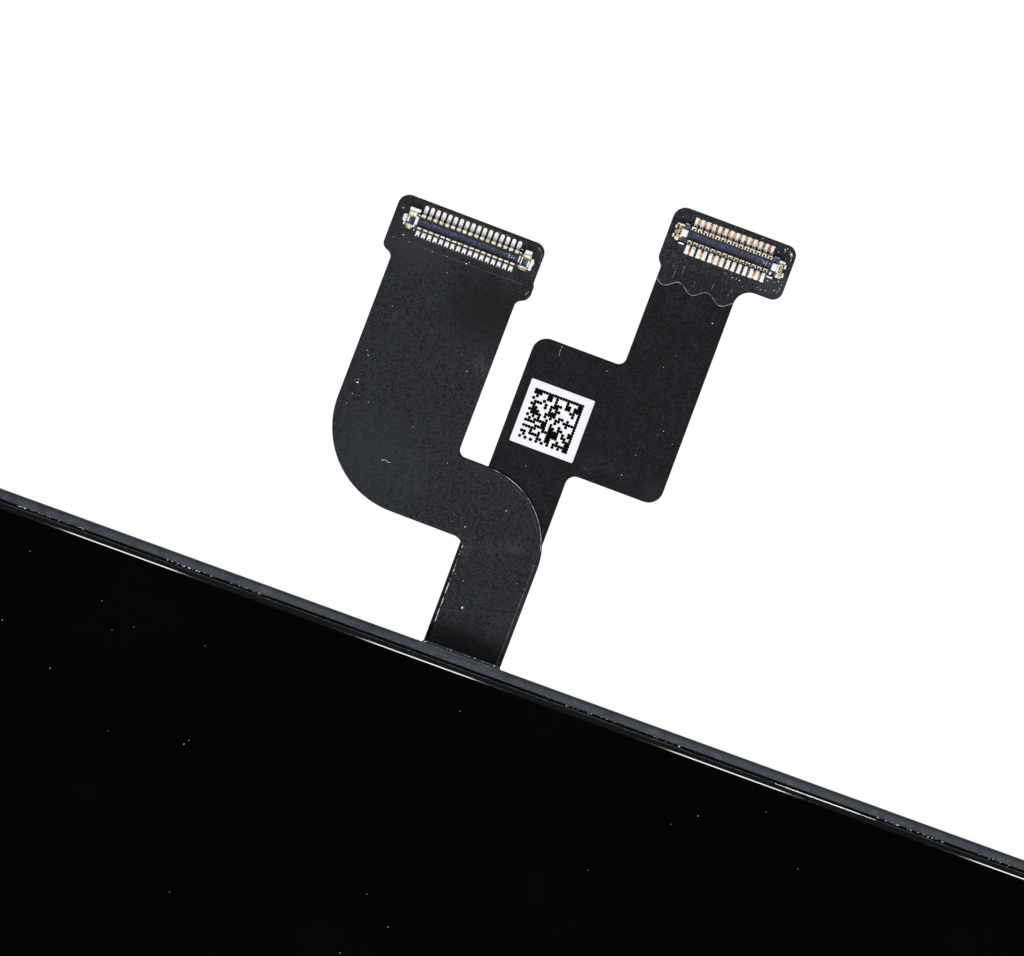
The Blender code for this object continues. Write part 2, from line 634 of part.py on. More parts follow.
# Light strip: white diodes in a row on a narrow board, facing the light guide
strip_low = PANEL_END - tray_wall - LED_STRIP_WIDTH
strip_high = PANEL_END - tray_wall
strip_half = PANEL_HALF_WIDTH - PANEL_RADIUS
strip_base = TRAY_FLOOR + LAYER_GAP
led_strip = adopt(box("led_strip", (strip_low, -strip_half, strip_base),
                      (strip_high, strip_half, strip_base + LED_BOARD_THICKNESS)), "white_film",
                  shaded_round=False)
led_count = int((2 * strip_half - LED_LENGTH) / LED_PITCH) + 1
led_first = -(led_count - 1) * LED_PITCH / 2
led_row = tool(box("diode_row", (strip_low + LED_GAP, led_first - LED_LENGTH / 2, strip_base + LED_BOARD_THICKNESS / 2),
                   (strip_low + LED_GAP + LED_DEPTH, led_first + LED_LENGTH / 2,
                    GUIDE_TOP - LAYER_GAP)))
led_array = led_row.modifiers.new("row", 'ARRAY')
led_array.use_relative_offset = False
led_array.use_constant_offset = True
led_array.constant_offset_displace = (0.0, LED_PITCH, 0.0)
led_array.count = led_count
boolean(led_strip, led_row, 'UNION')

# Spacer tape between the tray and the shield plate, open where the circuits pass
spacer_inner = SPACER_TAPE_WIDTH
spacer_tape = adopt(sheet(
    "spacer_tape",
    [rounded_box_outline(PANEL_START, PANEL_END, PANEL_HALF_WIDTH, PANEL_START_RADIUS, PANEL_RADIUS),
     rounded_box_outline(PANEL_START + spacer_inner, PANEL_END - spacer_inner, PANEL_HALF_WIDTH - spacer_inner,
                         PANEL_START_RADIUS / 2, PANEL_RADIUS - spacer_inner)],
    PLATE_TOP + LAYER_GAP, TRAY_BOTTOM - LAYER_GAP), "tape")
boolean(spacer_tape, tool(box(
    "spacer_gap_cutter",
    (FLEX_EXIT_X + exit_left - EXIT_CLEARANCE, PANEL_HALF_WIDTH - 2 * SPACER_TAPE_WIDTH, REST),
    (FLEX_EXIT_X + exit_right + EXIT_CLEARANCE, FRAME_WIDTH, TRAY_FLOOR))))

# Shield plate: pressed steel with long stiffening beads and screw holes
plate_half = FRAME_WIDTH / 2 - skirt_inner - PLATE_CLEARANCE
plate_end = FRAME_LENGTH / 2 - skirt_inner - PLATE_CLEARANCE
plate_radius = CORNER_RADIUS - skirt_inner - PLATE_CLEARANCE
shield_plate = adopt(sheet(
    "shield_plate",
    [rounded_box_outline(PANEL_START, plate_end, plate_half, PANEL_START_RADIUS, plate_radius)],
    PLATE_BOTTOM, PLATE_TOP), "steel")
bead_start = PANEL_START + BEAD_END_MARGIN
bead_end = plate_end - BEAD_END_MARGIN
bead_offset = plate_half / 2
BEADS = bpy.data.collections.new("plate_beads")
CUTTERS.children.link(BEADS)
for place in (-bead_offset, 0.0, bead_offset):
    half_bead = BEAD_WIDTH / 2
    rounding = half_bead * 0.95
    bead = sheet("plate_bead", [filleted([
        (bead_start, place - half_bead, rounding),
        (bead_end, place - half_bead, rounding),
        (bead_end, place + half_bead, rounding),
        (bead_start, place + half_bead, rounding),
    ])], REST, PLATE_BOTTOM + PLATE_THICKNESS / 2)
    tool(bead, BEADS)
boolean(shield_plate, BEADS, 'UNION')
for side_x in (PANEL_START + PLATE_HOLE_FROM_EDGE, plate_end - PLATE_HOLE_FROM_EDGE):
    for side_y in (-1, 1):
        bpy.ops.mesh.primitive_cylinder_add(
            vertices=16, radius=PLATE_HOLE_DIAMETER / 2, depth=PLATE_THICKNESS * 4,
            location=(side_x, side_y * (plate_half - PLATE_HOLE_FROM_EDGE), (PLATE_TOP + PLATE_BOTTOM) / 2))
        hole = bpy.context.object
        hole.name = "plate_hole_cutter"
        boolean(shield_plate, tool(hole))

# Graphite sheets between the beads
graphite_bands = [
    ("graphite_sheet_1", -plate_half + GRAPHITE_MARGIN, -bead_offset - BEAD_WIDTH),
    ("graphite_sheet_2", -bead_offset + BEAD_WIDTH, -BEAD_WIDTH),
    ("graphite_sheet_3", BEAD_WIDTH, bead_offset - BEAD_WIDTH),
    ("graphite_sheet_4", bead_offset + BEAD_WIDTH, plate_half - GRAPHITE_MARGIN),
]
for name, y_low, y_high in graphite_bands:
    rounding = GRAPHITE_MARGIN / 2
    outline = filleted([(bead_start, y_low, rounding), (bead_end, y_low, rounding),
                        (bead_end, y_high, rounding), (bead_start, y_high, rounding)])
    adopt(sheet(name, [outline], REST, GRAPHITE_TOP), "graphite")


def circuit_origin(name, turn):
    """Point where a flexible circuit leaves the frame, turned with it."""
    empty = bpy.data.objects.new(name, None)
    empty.location = (FLEX_EXIT_X, EXIT_Y, 0.0)
    empty.rotation_euler = (0.0, 0.0, -math.radians(turn))
    PARTS.objects.link(empty)
    return empty


display_origin = circuit_origin("display_circuit_origin", DISPLAY_TURN_DEGREES)
touch_origin = circuit_origin("touch_circuit_origin", TOUCH_TURN_DEGREES)

# Display circuit: stem, sideways arm, neck and connector head
display_left = DISPLAY_STEM_SHIFT - DISPLAY_STEM_WIDTH / 2
display_right = DISPLAY_STEM_SHIFT + DISPLAY_STEM_WIDTH / 2
display_axis = DISPLAY_STEM_SHIFT - DISPLAY_REACH
display_arm_end = DISPLAY_ARM_START + DISPLAY_ARM_WIDTH
neck_half = DISPLAY_NECK_WIDTH / 2
head_half = DISPLAY_HEAD_WIDTH / 2
display_head_start = DISPLAY_NECK_END + DISPLAY_SHOULDER
display_outline = filleted([
    (display_left, -FLEX_TAIL, 0.0003),
    (display_right, -FLEX_TAIL, 0.0003),
    (display_right, display_arm_end, DISPLAY_INNER_RADIUS),
    (display_axis + neck_half, display_arm_end, 0.00045),
    (display_axis + neck_half, DISPLAY_NECK_END, 0.00035),
    (display_axis + head_half, display_head_start, 0.00035),
    (display_axis + head_half, DISPLAY_HEAD_END, DISPLAY_HEAD_RADIUS),
    (display_axis - head_half, DISPLAY_HEAD_END, DISPLAY_HEAD_RADIUS),
    (display_axis - head_half, display_head_start, 0.00035),
    (display_axis - neck_half, DISPLAY_NECK_END, 0.00035),
    (display_axis - neck_half, DISPLAY_ARM_START, DISPLAY_OUTER_RADIUS),
    (display_left, DISPLAY_ARM_START, 0.00070),
])
display_flex = adopt(sheet("display_flex", [display_outline], DISPLAY_FLEX_BOTTOM, DISPLAY_FLEX_TOP), "board")
display_flex.parent = display_origin

stiffener_margin = FILM_MARGIN * 3
display_stiffener = adopt(sheet("display_stiffener", [filleted([
    (display_axis - head_half + stiffener_margin, display_head_start + stiffener_margin, 0.0003),
    (display_axis + head_half - stiffener_margin, display_head_start + stiffener_margin, 0.0003),
    (display_axis + head_half - stiffener_margin, DISPLAY_HEAD_END - stiffener_margin, 0.0004),
    (display_axis - head_half + stiffener_margin, DISPLAY_HEAD_END - stiffener_margin, 0.0004),
])], REST, DISPLAY_FLEX_BOTTOM - LAYER_GAP), "steel")
display_stiffener.parent = display_origin

# Touch circuit: stem, wide flag with the label, neck and connector head
touch_left = TOUCH_STEM_SHIFT - TOUCH_STEM_WIDTH / 2
touch_right = TOUCH_STEM_SHIFT + TOUCH_STEM_WIDTH / 2
flag_right = touch_left + TOUCH_FLAG_WIDTH
touch_neck_left = flag_right - TOUCH_NECK_WIDTH
touch_head_left = touch_neck_left - TOUCH_HEAD_OVERHANG
touch_head_right = touch_head_left + TOUCH_HEAD_WIDTH
touch_outline = filleted([
    (touch_left, -FLEX_TAIL, 0.0003),
    (touch_right, -FLEX_TAIL, 0.0003),
    (touch_right, TOUCH_FLAG_START, 0.00055),
    (flag_right, TOUCH_FLAG_START, TOUCH_FLAG_RADIUS),
    (flag_right, TOUCH_HEAD_START, 0.00095),
    (touch_head_right, TOUCH_HEAD_START, TOUCH_HEAD_RADIUS),
    (touch_head_right, TOUCH_HEAD_END, TOUCH_HEAD_RADIUS),
    (touch_head_left, TOUCH_HEAD_END, TOUCH_HEAD_RADIUS * 0.8),
    (touch_head_left, TOUCH_HEAD_START + 0.00010, 0.00035),
    (touch_neck_left, TOUCH_HEAD_START - 0.00040, 0.00030),
    (touch_neck_left, TOUCH_FLAG_END, 0.00045),
    (touch_left, TOUCH_FLAG_END, TOUCH_FLAG_RADIUS),
])
touch_flex = adopt(sheet("touch_flex", [touch_outline], TOUCH_FLEX_BOTTOM, TOUCH_FLEX_TOP), "board")
touch_flex.parent = touch_origin

# Shield film on the touch circuit, whose far edge is cut in waves across the neck
margin = FILM_MARGIN
wave_steps = 24
wave_left = touch_neck_left + margin
wave_right = flag_right - margin
film_outline = filleted([
    (touch_left + margin, -FLEX_TAIL + margin, 0.0003),
    (touch_right - margin, -FLEX_TAIL + margin, 0.0003),
    (touch_right - margin, TOUCH_FLAG_START + margin, 0.00055 + margin),
    (wave_right, TOUCH_FLAG_START + margin, TOUCH_FLAG_RADIUS - margin),
])
lower_count = len(film_outline)
for step in range(wave_steps + 1):
    across = wave_right + (wave_left - wave_right) * step / wave_steps
    phase = 2 * math.pi * (across - wave_left) / FILM_WAVE_PITCH
    film_outline.append(Vector((across, FILM_WAVE_POSITION - FILM_WAVE_HEIGHT * math.sin(phase))))
film_outline += filleted([
    (wave_left, FILM_WAVE_POSITION, 0.0),
    (wave_left, TOUCH_FLAG_END - margin, 0.00045 + margin),
    (touch_left + margin, TOUCH_FLAG_END - margin, TOUCH_FLAG_RADIUS - margin),
    (touch_left + margin, -FLEX_TAIL / 2, 0.0),
])[1:-1]
touch_film = adopt(sheet("touch_shield_film", [film_outline], FILM_BOTTOM, FILM_TOP), "shield")
touch_film.parent = touch_origin

touch_stiffener = adopt(sheet("touch_stiffener", [filleted([
    (touch_head_left + stiffener_margin, TOUCH_HEAD_START + 3 * stiffener_margin, 0.0003),
    (touch_head_right - stiffener_margin, TOUCH_HEAD_START + 3 * stiffener_margin, 0.0003),
    (touch_head_right - stiffener_margin, TOUCH_HEAD_END - stiffener_margin, 0.0004),
    (touch_head_left + stiffener_margin, TOUCH_HEAD_END - stiffener_margin, 0.0004),
])], REST, TOUCH_FLEX_BOTTOM - LAYER_GAP), "steel")
touch_stiffener.parent = touch_origin

# Label
label_base = FILM_TOP + LAYER_GAP
label = adopt(sheet("label", [filleted([
    (LABEL_SHIFT - LABEL_LENGTH / 2, LABEL_POSITION - LABEL_WIDTH / 2, LABEL_ROUND),
    (LABEL_SHIFT + LABEL_LENGTH / 2, LABEL_POSITION - LABEL_WIDTH / 2, LABEL_ROUND),
    (LABEL_SHIFT + LABEL_LENGTH / 2, LABEL_POSITION + LABEL_WIDTH / 2, LABEL_ROUND),
    (LABEL_SHIFT - LABEL_LENGTH / 2, LABEL_POSITION + LABEL_WIDTH / 2, LABEL_ROUND),
])], label_base, label_base + LABEL_THICKNESS), "paper")
label.parent = touch_origin


def connector(prefix, count, origin, x, y, surface):
    """Plug with two rows of wrapped contacts, and a metal hold-down round each end."""
    base = surface + LAYER_GAP
    half_length = (count - 1) * CONTACT_PITCH / 2 + HOUSING_END
    half_width = HOUSING_WIDTH / 2
    housing = box(prefix + "_connector", (x - half_length, y - half_width, base),
                  (x + half_length, y + half_width, base + HOUSING_HEIGHT))
    adopt(housing, "housing", shaded_round=False)
    housing.parent = origin
    groove_half = half_length - HOUSING_END_WALL
    groove = tool(box(prefix + "_groove_cutter",
                      (x - groove_half, y - half_width + HOUSING_WALL, base + HOUSING_FLOOR),
                      (x + groove_half, y + half_width - HOUSING_WALL, base + HOUSING_HEIGHT * 2)))
    groove.parent = origin
    boolean(housing, groove)

    # One contact: a tail on the circuit, then up, over and down the housing wall
    outer = half_width + CONTACT_METAL
    inner = half_width - HOUSING_WALL - CONTACT_METAL
    crown = HOUSING_HEIGHT + CONTACT_METAL
    bend = CONTACT_METAL * 1.5
    side = [
        (half_width - HOUSING_WALL / 2, 0.0),
        (outer + CONTACT_TAIL, 0.0),
        (outer + CONTACT_TAIL, CONTACT_TAIL_HEIGHT),
        (outer, CONTACT_TAIL_HEIGHT),
        (outer, crown - bend),
        (outer - bend, crown),
        (inner + bend, crown),
        (inner, crown - bend),
        (inner, HOUSING_FLOOR + CONTACT_METAL),
        (half_width - HOUSING_WALL / 2, HOUSING_FLOOR + CONTACT_METAL),
    ]
    row = sheet(prefix + "_contact_row", [side], -CONTACT_WIDTH / 2, CONTACT_WIDTH / 2)
    row.data.transform(Matrix.Rotation(math.pi / 2, 4, 'X'))
    row.data.transform(Matrix.Rotation(math.pi / 2, 4, 'Z'))
    row.location = (x - (count - 1) * CONTACT_PITCH / 2, y, base)
    row.parent = origin
    repeat = row.modifiers.new("row", 'ARRAY')
    repeat.use_relative_offset = False
    repeat.use_constant_offset = True
    repeat.constant_offset_displace = (CONTACT_PITCH, 0.0, 0.0)
    repeat.count = count
    other = row.modifiers.new("other_row", 'MIRROR')
    other.use_axis = (False, True, False)
    other.merge_threshold = WELD
    boolean(housing, tool(row), 'UNION')

    # Hold-downs: a bracket round three sides of the housing's end, with a solder tab
    for end_name, direction in (("left", -1), ("right", 1)):
        near = half_length - HOLD_DOWN_LENGTH
        far = half_length + LAYER_GAP
        inside = half_width + LAYER_GAP
        wide = inside + HOLD_DOWN_METAL
        tab_end = far + HOLD_DOWN_METAL + HOLD_DOWN_TAB
        tab_half = HOLD_DOWN_TAB_WIDTH / 2
        corners = [
            (near, -wide), (far + HOLD_DOWN_METAL, -wide),
            (far + HOLD_DOWN_METAL, -tab_half), (tab_end, -tab_half),
            (tab_end, tab_half), (far + HOLD_DOWN_METAL, tab_half),
            (far + HOLD_DOWN_METAL, wide), (near, wide),
            (near, inside), (far, inside), (far, -inside), (near, -inside),
        ]
        outline = [(x + direction * px, y + py) for px, py in corners]
        name = prefix + "_hold_down_" + end_name
        hold = adopt(sheet(name, [outline], base, base + HOLD_DOWN_HEIGHT), "tin", shaded_round=False)
        hold.parent = origin


connector("display", DISPLAY_CONTACTS, display_origin, display_axis,
          DISPLAY_CONNECTOR_POSITION, DISPLAY_FLEX_TOP)
touch_connector_x = (touch_head_left + touch_head_right) / 2 + TOUCH_CONNECTOR_SHIFT
connector("touch", TOUCH_CONTACTS, touch_origin, touch_connector_x,
          TOUCH_CONNECTOR_POSITION, TOUCH_FLEX_TOP)

bpy.context.view_layer.update()
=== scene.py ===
"""Finish of a phone LCD screen assembly: cover glass in its frame, two circuits and their plugs.

Pieces are modelled in millimetres and set at their real size when they are finished. Those of a
flexible circuit are modelled in that circuit's own frame, which starts where it leaves the screen.
"""

import json
import math
import random

import bmesh
import bpy
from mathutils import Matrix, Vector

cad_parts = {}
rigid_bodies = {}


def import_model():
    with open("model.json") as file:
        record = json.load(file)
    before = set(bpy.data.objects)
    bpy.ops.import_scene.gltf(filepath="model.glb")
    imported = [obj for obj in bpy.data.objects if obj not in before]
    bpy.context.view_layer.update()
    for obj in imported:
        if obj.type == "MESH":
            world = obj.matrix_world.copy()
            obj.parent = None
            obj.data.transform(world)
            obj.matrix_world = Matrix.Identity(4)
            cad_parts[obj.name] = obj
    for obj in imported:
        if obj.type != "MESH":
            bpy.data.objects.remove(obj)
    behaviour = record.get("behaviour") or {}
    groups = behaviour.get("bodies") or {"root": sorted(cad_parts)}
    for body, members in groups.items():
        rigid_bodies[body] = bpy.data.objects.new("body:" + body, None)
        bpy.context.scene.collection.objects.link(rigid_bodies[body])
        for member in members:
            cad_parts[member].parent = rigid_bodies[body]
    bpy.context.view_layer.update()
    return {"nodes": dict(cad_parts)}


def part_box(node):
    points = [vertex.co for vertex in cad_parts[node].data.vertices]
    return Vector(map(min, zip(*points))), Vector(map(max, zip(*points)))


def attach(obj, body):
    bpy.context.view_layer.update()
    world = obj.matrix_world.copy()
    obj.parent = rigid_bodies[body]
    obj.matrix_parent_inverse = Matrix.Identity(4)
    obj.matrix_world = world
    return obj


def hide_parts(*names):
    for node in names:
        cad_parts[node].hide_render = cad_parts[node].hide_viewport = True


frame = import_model()

MM = 0.001

# Axes of a place
X, Y, Z = 0, 1, 2

# Where the circuits leave the screen, and how far each lies turned
EXIT_X = -20.0
EXIT_Y = 34.2
SCREEN = (0.0, 0.0, 0.0)
DISPLAY = (EXIT_X, EXIT_Y, -0.80)
TOUCH = (EXIT_X, EXIT_Y, -0.45)
SQUARE = (EXIT_X, EXIT_Y, 0.0)


def top_of(node):
    """Highest level of a CAD node, in mm."""
    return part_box(node)[1][2] / MM


def bottom_of(node):
    """Lowest level of a CAD node, in mm."""
    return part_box(node)[0][2] / MM


# Levels that the finish follows, in mm
FRAME_TOP = top_of("bezel_frame")
SKIRT_END = bottom_of("bezel_frame")
GLASS_BACK = bottom_of("cover_glass")
DISPLAY_TOP = top_of("display_flex")
DISPLAY_UNDER = bottom_of("display_flex")
FILM_TOP = top_of("touch_shield_film")
FILM_UNDER = bottom_of("touch_shield_film")
TOUCH_TOP = top_of("touch_flex")
TOUCH_UNDER = bottom_of("touch_flex")
LABEL_TOP = top_of("label")
FLOOR_LEVEL = bottom_of("shield_plate")


# Colours and nodes

def linear(code):
    """sRGB hex code to a linear colour. A number is a grey that is linear already."""
    if not isinstance(code, str):
        return code, code, code, 1.0
    channels = [int(code[i:i + 2], 16) / 255 for i in (0, 2, 4)]
    return (*[c / 12.92 if c <= 0.04045 else ((c + 0.055) / 1.055) ** 2.4 for c in channels], 1.0)


def new_finish(name, code, roughness, metallic=0.0, ior=1.5):
    """Material with its Principled shader, whose even values sit on the shader's own sockets."""
    made = bpy.data.materials.new(name)
    made.use_nodes = True
    shader = made.node_tree.nodes["Principled BSDF"]
    shader.inputs["Base Color"].default_value = linear(code)
    shader.inputs["Roughness"].default_value = roughness
    shader.inputs["Metallic"].default_value = metallic
    shader.inputs["IOR"].default_value = ior
    made.diffuse_color = linear(code)
    return made, made.node_tree, shader


def add(tree, kind, inputs=(), stops=(), **settings):
    """Add a node with its settings, its inputs as (socket, hex code or number, place) pairs, and
    the stops of a colour band as (place, hex code or grey) pairs."""
    node = tree.nodes.new("ShaderNode" + kind)
    for name, value in settings.items():
        if hasattr(node, name):
            setattr(node, name, value)
        else:
            node.inputs[name.replace("_", " ")].default_value = value
    for value, place in inputs:
        if isinstance(value, bpy.types.NodeSocket):
            tree.links.new(value, node.inputs[place])
        else:
            node.inputs[place].default_value = linear(value) if isinstance(value, str) else value
    while len(stops) > 2 and len(node.color_ramp.elements) < len(stops):
        node.color_ramp.elements.new(0.5)
    for element, (place, code) in zip(node.color_ramp.elements if stops else (), stops):
        element.position = place
        element.color = linear(code)
    return node


def cells(millimetres):
    """Scale of a pattern whose features are this wide, on coordinates in metres."""
    return 1.0 / (millimetres * MM)


def mottled(tree, shader, patch_mm, stops, grain_mm, depth_mm, rough=None, stretch=(1.0, 1.0, 1.0)):
    """Soft patches of colour, and a fine grain that stands up from the surface. The colour is
    returned, so that a finish can go on from it."""
    place = add(tree, "TexCoord").outputs["Object"]
    turned = add(tree, "Mapping", [(place, "Vector")], Scale=stretch).outputs["Vector"]
    patches = add(tree, "TexNoise", [(turned, "Vector")], Scale=cells(patch_mm), Detail=4.0)
    colour = add(tree, "ValToRGB", [(patches.outputs["Fac"], "Fac")], stops).outputs["Color"]
    tree.links.new(colour, shader.inputs["Base Color"])
    grain = add(tree, "TexNoise", [(turned, "Vector")], Scale=cells(grain_mm), Detail=3.0)
    bump = add(tree, "Bump", [(grain.outputs["Fac"], "Height")], Distance=depth_mm * MM, Strength=1.0)
    tree.links.new(bump.outputs["Normal"], shader.inputs["Normal"])
    if rough:
        spread = add(tree, "MapRange", [(grain.outputs["Fac"], "Value")], To_Min=rough[0], To_Max=rough[1])
        tree.links.new(spread.outputs["Result"], shader.inputs["Roughness"])
    return colour


def cover_glass_finish():
    """Float glass, polished and printed black behind: deep black with mirror-sharp reflections."""
    made, tree, shader = new_finish("polished_black_glass", "020202", 0.03, ior=1.5)
    mottled(tree, shader, 9.0, [(0.35, "010101"), (0.65, "030304")], 6.0, 0.00002)
    return made


def slate_frame_finish():
    """Glass-filled nylon, moulded and satin painted: slate grey with a faint cool mottling, and painted shade
    that darkens its crown where it turns down."""
    made, tree, shader = new_finish("satin_slate_nylon", "363A40", 0.46)
    shader.inputs["Specular IOR Level"].default_value = 0.30
    colour = mottled(
        tree, shader, 0.7, [(0.34, "293034"), (0.45, "3A3D48"), (0.55, "333C3F"), (0.68, "464951")],
        0.10, 0.014, rough=(0.36, 0.62))
    # Painted shade: the slate turns darker where the crown slopes away from flat, though not on upright
    # walls.
    upward = add(tree, "SeparateXYZ", [(add(tree, "TexCoord").outputs["Normal"], "Vector")]).outputs["Z"]
    crown = add(tree, "ValToRGB", [(upward, "Fac")],
                [(0.10, "000000"), (0.35, "FFFFFF"), (0.70, "FFFFFF"), (0.93, "000000")])
    crown_painted_shade = add(tree, "Mix", [(crown.outputs["Color"], 0), (colour, 6), ("1C1F24", 7)], data_type='RGBA')
    tree.links.new(crown_painted_shade.outputs[2], shader.inputs["Base Color"])
    return made


def coverlay_finish(name, shades, patch_mm, grain_mm, depth_mm, gloss, painted_light_and_shade=()):
    """Matt black polyimide coverlay, hot pressed: charcoal with cool and warm casts, pressed grain and pale
    dust. Its die-cut edges turn blacker where the surface turns down from flat, partly their own colour and
    partly painted shade. Shades are the cool, warm, light and dark ones. The painted light and shade are wide
    soft patches, lighter or darker, that stand in for the shading of its gentle bends and for cast shadow,
    each (u, v, half width, half height, colour, share)."""
    cool, warm, light, dark = shades
    made, tree, shader = new_finish(name, warm, 0.55)
    shader.inputs["Specular IOR Level"].default_value = gloss
    colour = mottled(tree, shader, patch_mm, [(0.38, cool), (0.48, warm), (0.60, warm), (0.78, light)],
                     grain_mm, depth_mm, rough=(0.46, 0.66))
    place = add(tree, "TexCoord").outputs["Object"]
    layers = []
    for speck_mm, low, high, shade in ((0.08, 0.50, 0.66, light), (0.13, 0.50, 0.36, dark)):
        specks = add(tree, "TexNoise", [(place, "Vector")], Scale=cells(speck_mm), Detail=2.0)
        layers.append((add(tree, "MapRange", [(specks.outputs["Fac"], "Value")],
                           From_Min=low, From_Max=high), shade))
    dust = add(tree, "TexVoronoi", [(place, "Vector")], Scale=cells(0.42))
    grains = add(tree, "MapRange", [(dust.outputs["Distance"], "Value")], From_Min=0.11, From_Max=0.05)
    drift = add(tree, "TexNoise", [(place, "Vector")], Scale=cells(1.7), Detail=2.0)
    layers.append((add(tree, "MapRange", [(drift.outputs["Fac"], "Value"), (grains.outputs[0], "To Max")],
                       From_Min=0.54, From_Max=0.66), "606266"))
    # Painted light and shade: soft lighter or darker patches round the given places.
    for u, v, half_width, half_height, shade, share in painted_light_and_shade:
        scale = (cells(half_width), cells(half_height), 0.0)
        centred = add(tree, "Mapping", [(place, "Vector")], Scale=scale,
                      Location=(-(EXIT_X + u) / half_width, -(EXIT_Y + v) / half_height, 0.0))
        reach = add(tree, "TexGradient", [(centred.outputs["Vector"], "Vector")], gradient_type='SPHERICAL')
        layers.append((add(tree, "MapRange", [(reach.outputs["Fac"], "Value")], From_Max=0.8, To_Max=share,
                           interpolation_type='SMOOTHSTEP'), shade))
    # Painted shade, together with the cut edge's own black: darker where the surface turns down from flat.
    upward = add(tree, "SeparateXYZ", [(add(tree, "TexCoord").outputs["Normal"], "Vector")]).outputs["Z"]
    layers.append((add(tree, "MapRange", [(upward, "Value")], From_Min=0.95, From_Max=0.60), "050505"))
    for share, shade in layers:
        colour = add(tree, "Mix", [(share.outputs[0], 0), (colour, 6), (shade, 7)],
                     data_type='RGBA').outputs[2]
    tree.links.new(colour, shader.inputs["Base Color"])
    return made


def broken_line_finish(name, dark, pale, run_mm, low, high):
    """Line that is pale in short runs and dark between. On a cut edge of film or glass its pale runs are a
    painted glint or sheen.
    """
    made, tree, shader = new_finish(name, pale, 0.45)
    place = add(tree, "TexCoord").outputs["Object"]
    runs = add(tree, "TexNoise", [(place, "Vector")], Scale=cells(run_mm), Detail=3.0, Roughness=0.7)
    colour = add(tree, "ValToRGB", [(runs.outputs["Fac"], "Fac")], [(low, dark), (high, pale)])
    tree.links.new(colour.outputs["Color"], shader.inputs["Base Color"])
    return made


def rippled_finish(name, shades, roughness, patch_mm, grain_mm=0.05, depth_mm=0.004, metallic=0.0, **more):
    """Plated, tinned or finely moulded surface of three shades, with the small stains and ripples
    that plating and flow leave."""
    made, tree, shader = new_finish(name, shades[1], roughness, metallic)
    mottled(tree, shader, patch_mm, list(zip((0.34, 0.50, 0.64), shades)), grain_mm, depth_mm,
            (roughness * 0.8, roughness * 1.25), **more)
    return made


def plain_finish(name, low, high, roughness, patch_mm=1.5, grain_mm=0.2, depth_mm=0.002, ior=1.5, **more):
    """Finish of two near tones with a grain of its own size."""
    made, tree, shader = new_finish(name, low, roughness, ior=ior)
    mottled(tree, shader, patch_mm, [(0.3, low), (0.7, high)], grain_mm, depth_mm, **more)
    return made


def earpiece_mesh_finish():
    """Woven stainless mesh, blackened: a fine square weave, drawn at 0.16 mm so that it shows."""
    made, tree, shader = new_finish("blackened_steel_mesh", "17181A", 0.5, metallic=1.0)
    place = add(tree, "TexCoord").outputs["Object"]
    weave = add(tree, "TexVoronoi", [(place, "Vector")], Scale=cells(0.16), Randomness=0.0)
    colour = add(tree, "ValToRGB", [(weave.outputs["Distance"], "Fac")],
                 [(0.30, "050506"), (0.46, "33363A")])
    tree.links.new(colour.outputs["Color"], shader.inputs["Base Color"])
    bump = add(tree, "Bump", [(weave.outputs["Distance"], "Height")], Distance=0.03 * MM)
    tree.links.new(bump.outputs["Normal"], shader.inputs["Normal"])
    return made


GLASS = cover_glass_finish()
SLATE = slate_frame_finish()
# The tones given below are painted light and shade: soft lighter and darker patches where the circuits bend,
# and on the display circuit a painted shadow of the frame by the exit.
COVERLAY = coverlay_finish(
    "matt_polyimide_coverlay", ("1E2428", "201F25", "383840", "101214"), 2.6, 0.10, 0.012, 0.15,
    [(-5.5, 18.9, 3.4, 3.0, "060607", 0.70), (-10.3, 20.8, 2.8, 1.8, "302F37", 0.55),
     (-8.6, 8.8, 4.8, 3.8, "263036", 0.45), (-0.1, 0.3, 3.2, 2.2, "050506", 0.45)])
TOUCH_COVERLAY = coverlay_finish(
    "matt_touch_coverlay", ("1A1F24", "201F26", "42434D", "0E1013"), 0.8, 0.10, 0.016, 0.15,
    [(9.3, 25.7, 1.9, 1.3, "3C3C45", 0.6), (5.2, 24.25, 4.0, 0.9, "0E1013", 0.5)])
SHIELD_FILM = coverlay_finish(
    "matt_shield_film", ("101417", "131116", "24242B", "08080A"), 2.0, 0.09, 0.010, 0.12,
    [(6.8, 12.2, 1.0, 1.0, "26252C", 0.6)])

# Lines pale in short runs: painted glints and sheens on cut edges of film and glass, a resin line painted
# with a glint, and pale streaks on the touch circuit's neck
EDGE_RESIN_AND_GLINT = broken_line_finish("clear_coverlay_resin", "626468", "B8BAC0", 0.50, 0.40, 0.62)
FILM_GLINT = broken_line_finish("film_cut_edge", "2E2E33", "D6D6DA", 0.45, 0.40, 0.60)
STEM_GLINT = broken_line_finish("circuit_cut_edge", "0E0E10", "F4F4F6", 0.26, 0.44, 0.60)
FOLD_SHEEN = broken_line_finish("coverlay_second_edge", "232128", "646070", 0.30, 0.42, 0.66)
PALE_STREAK = broken_line_finish("scuffed_coverlay", "26262B", "8E8E98", 0.16, 0.40, 0.62)
GLASS_GLINT = broken_line_finish("ground_glass_edge", "060608", "5C5E62", 0.20, 0.44, 0.66)
EDGE_GLINT = broken_line_finish("polished_glass_arris", "B4B6BA", "FAFAFC", 0.50, 0.30, 0.48)

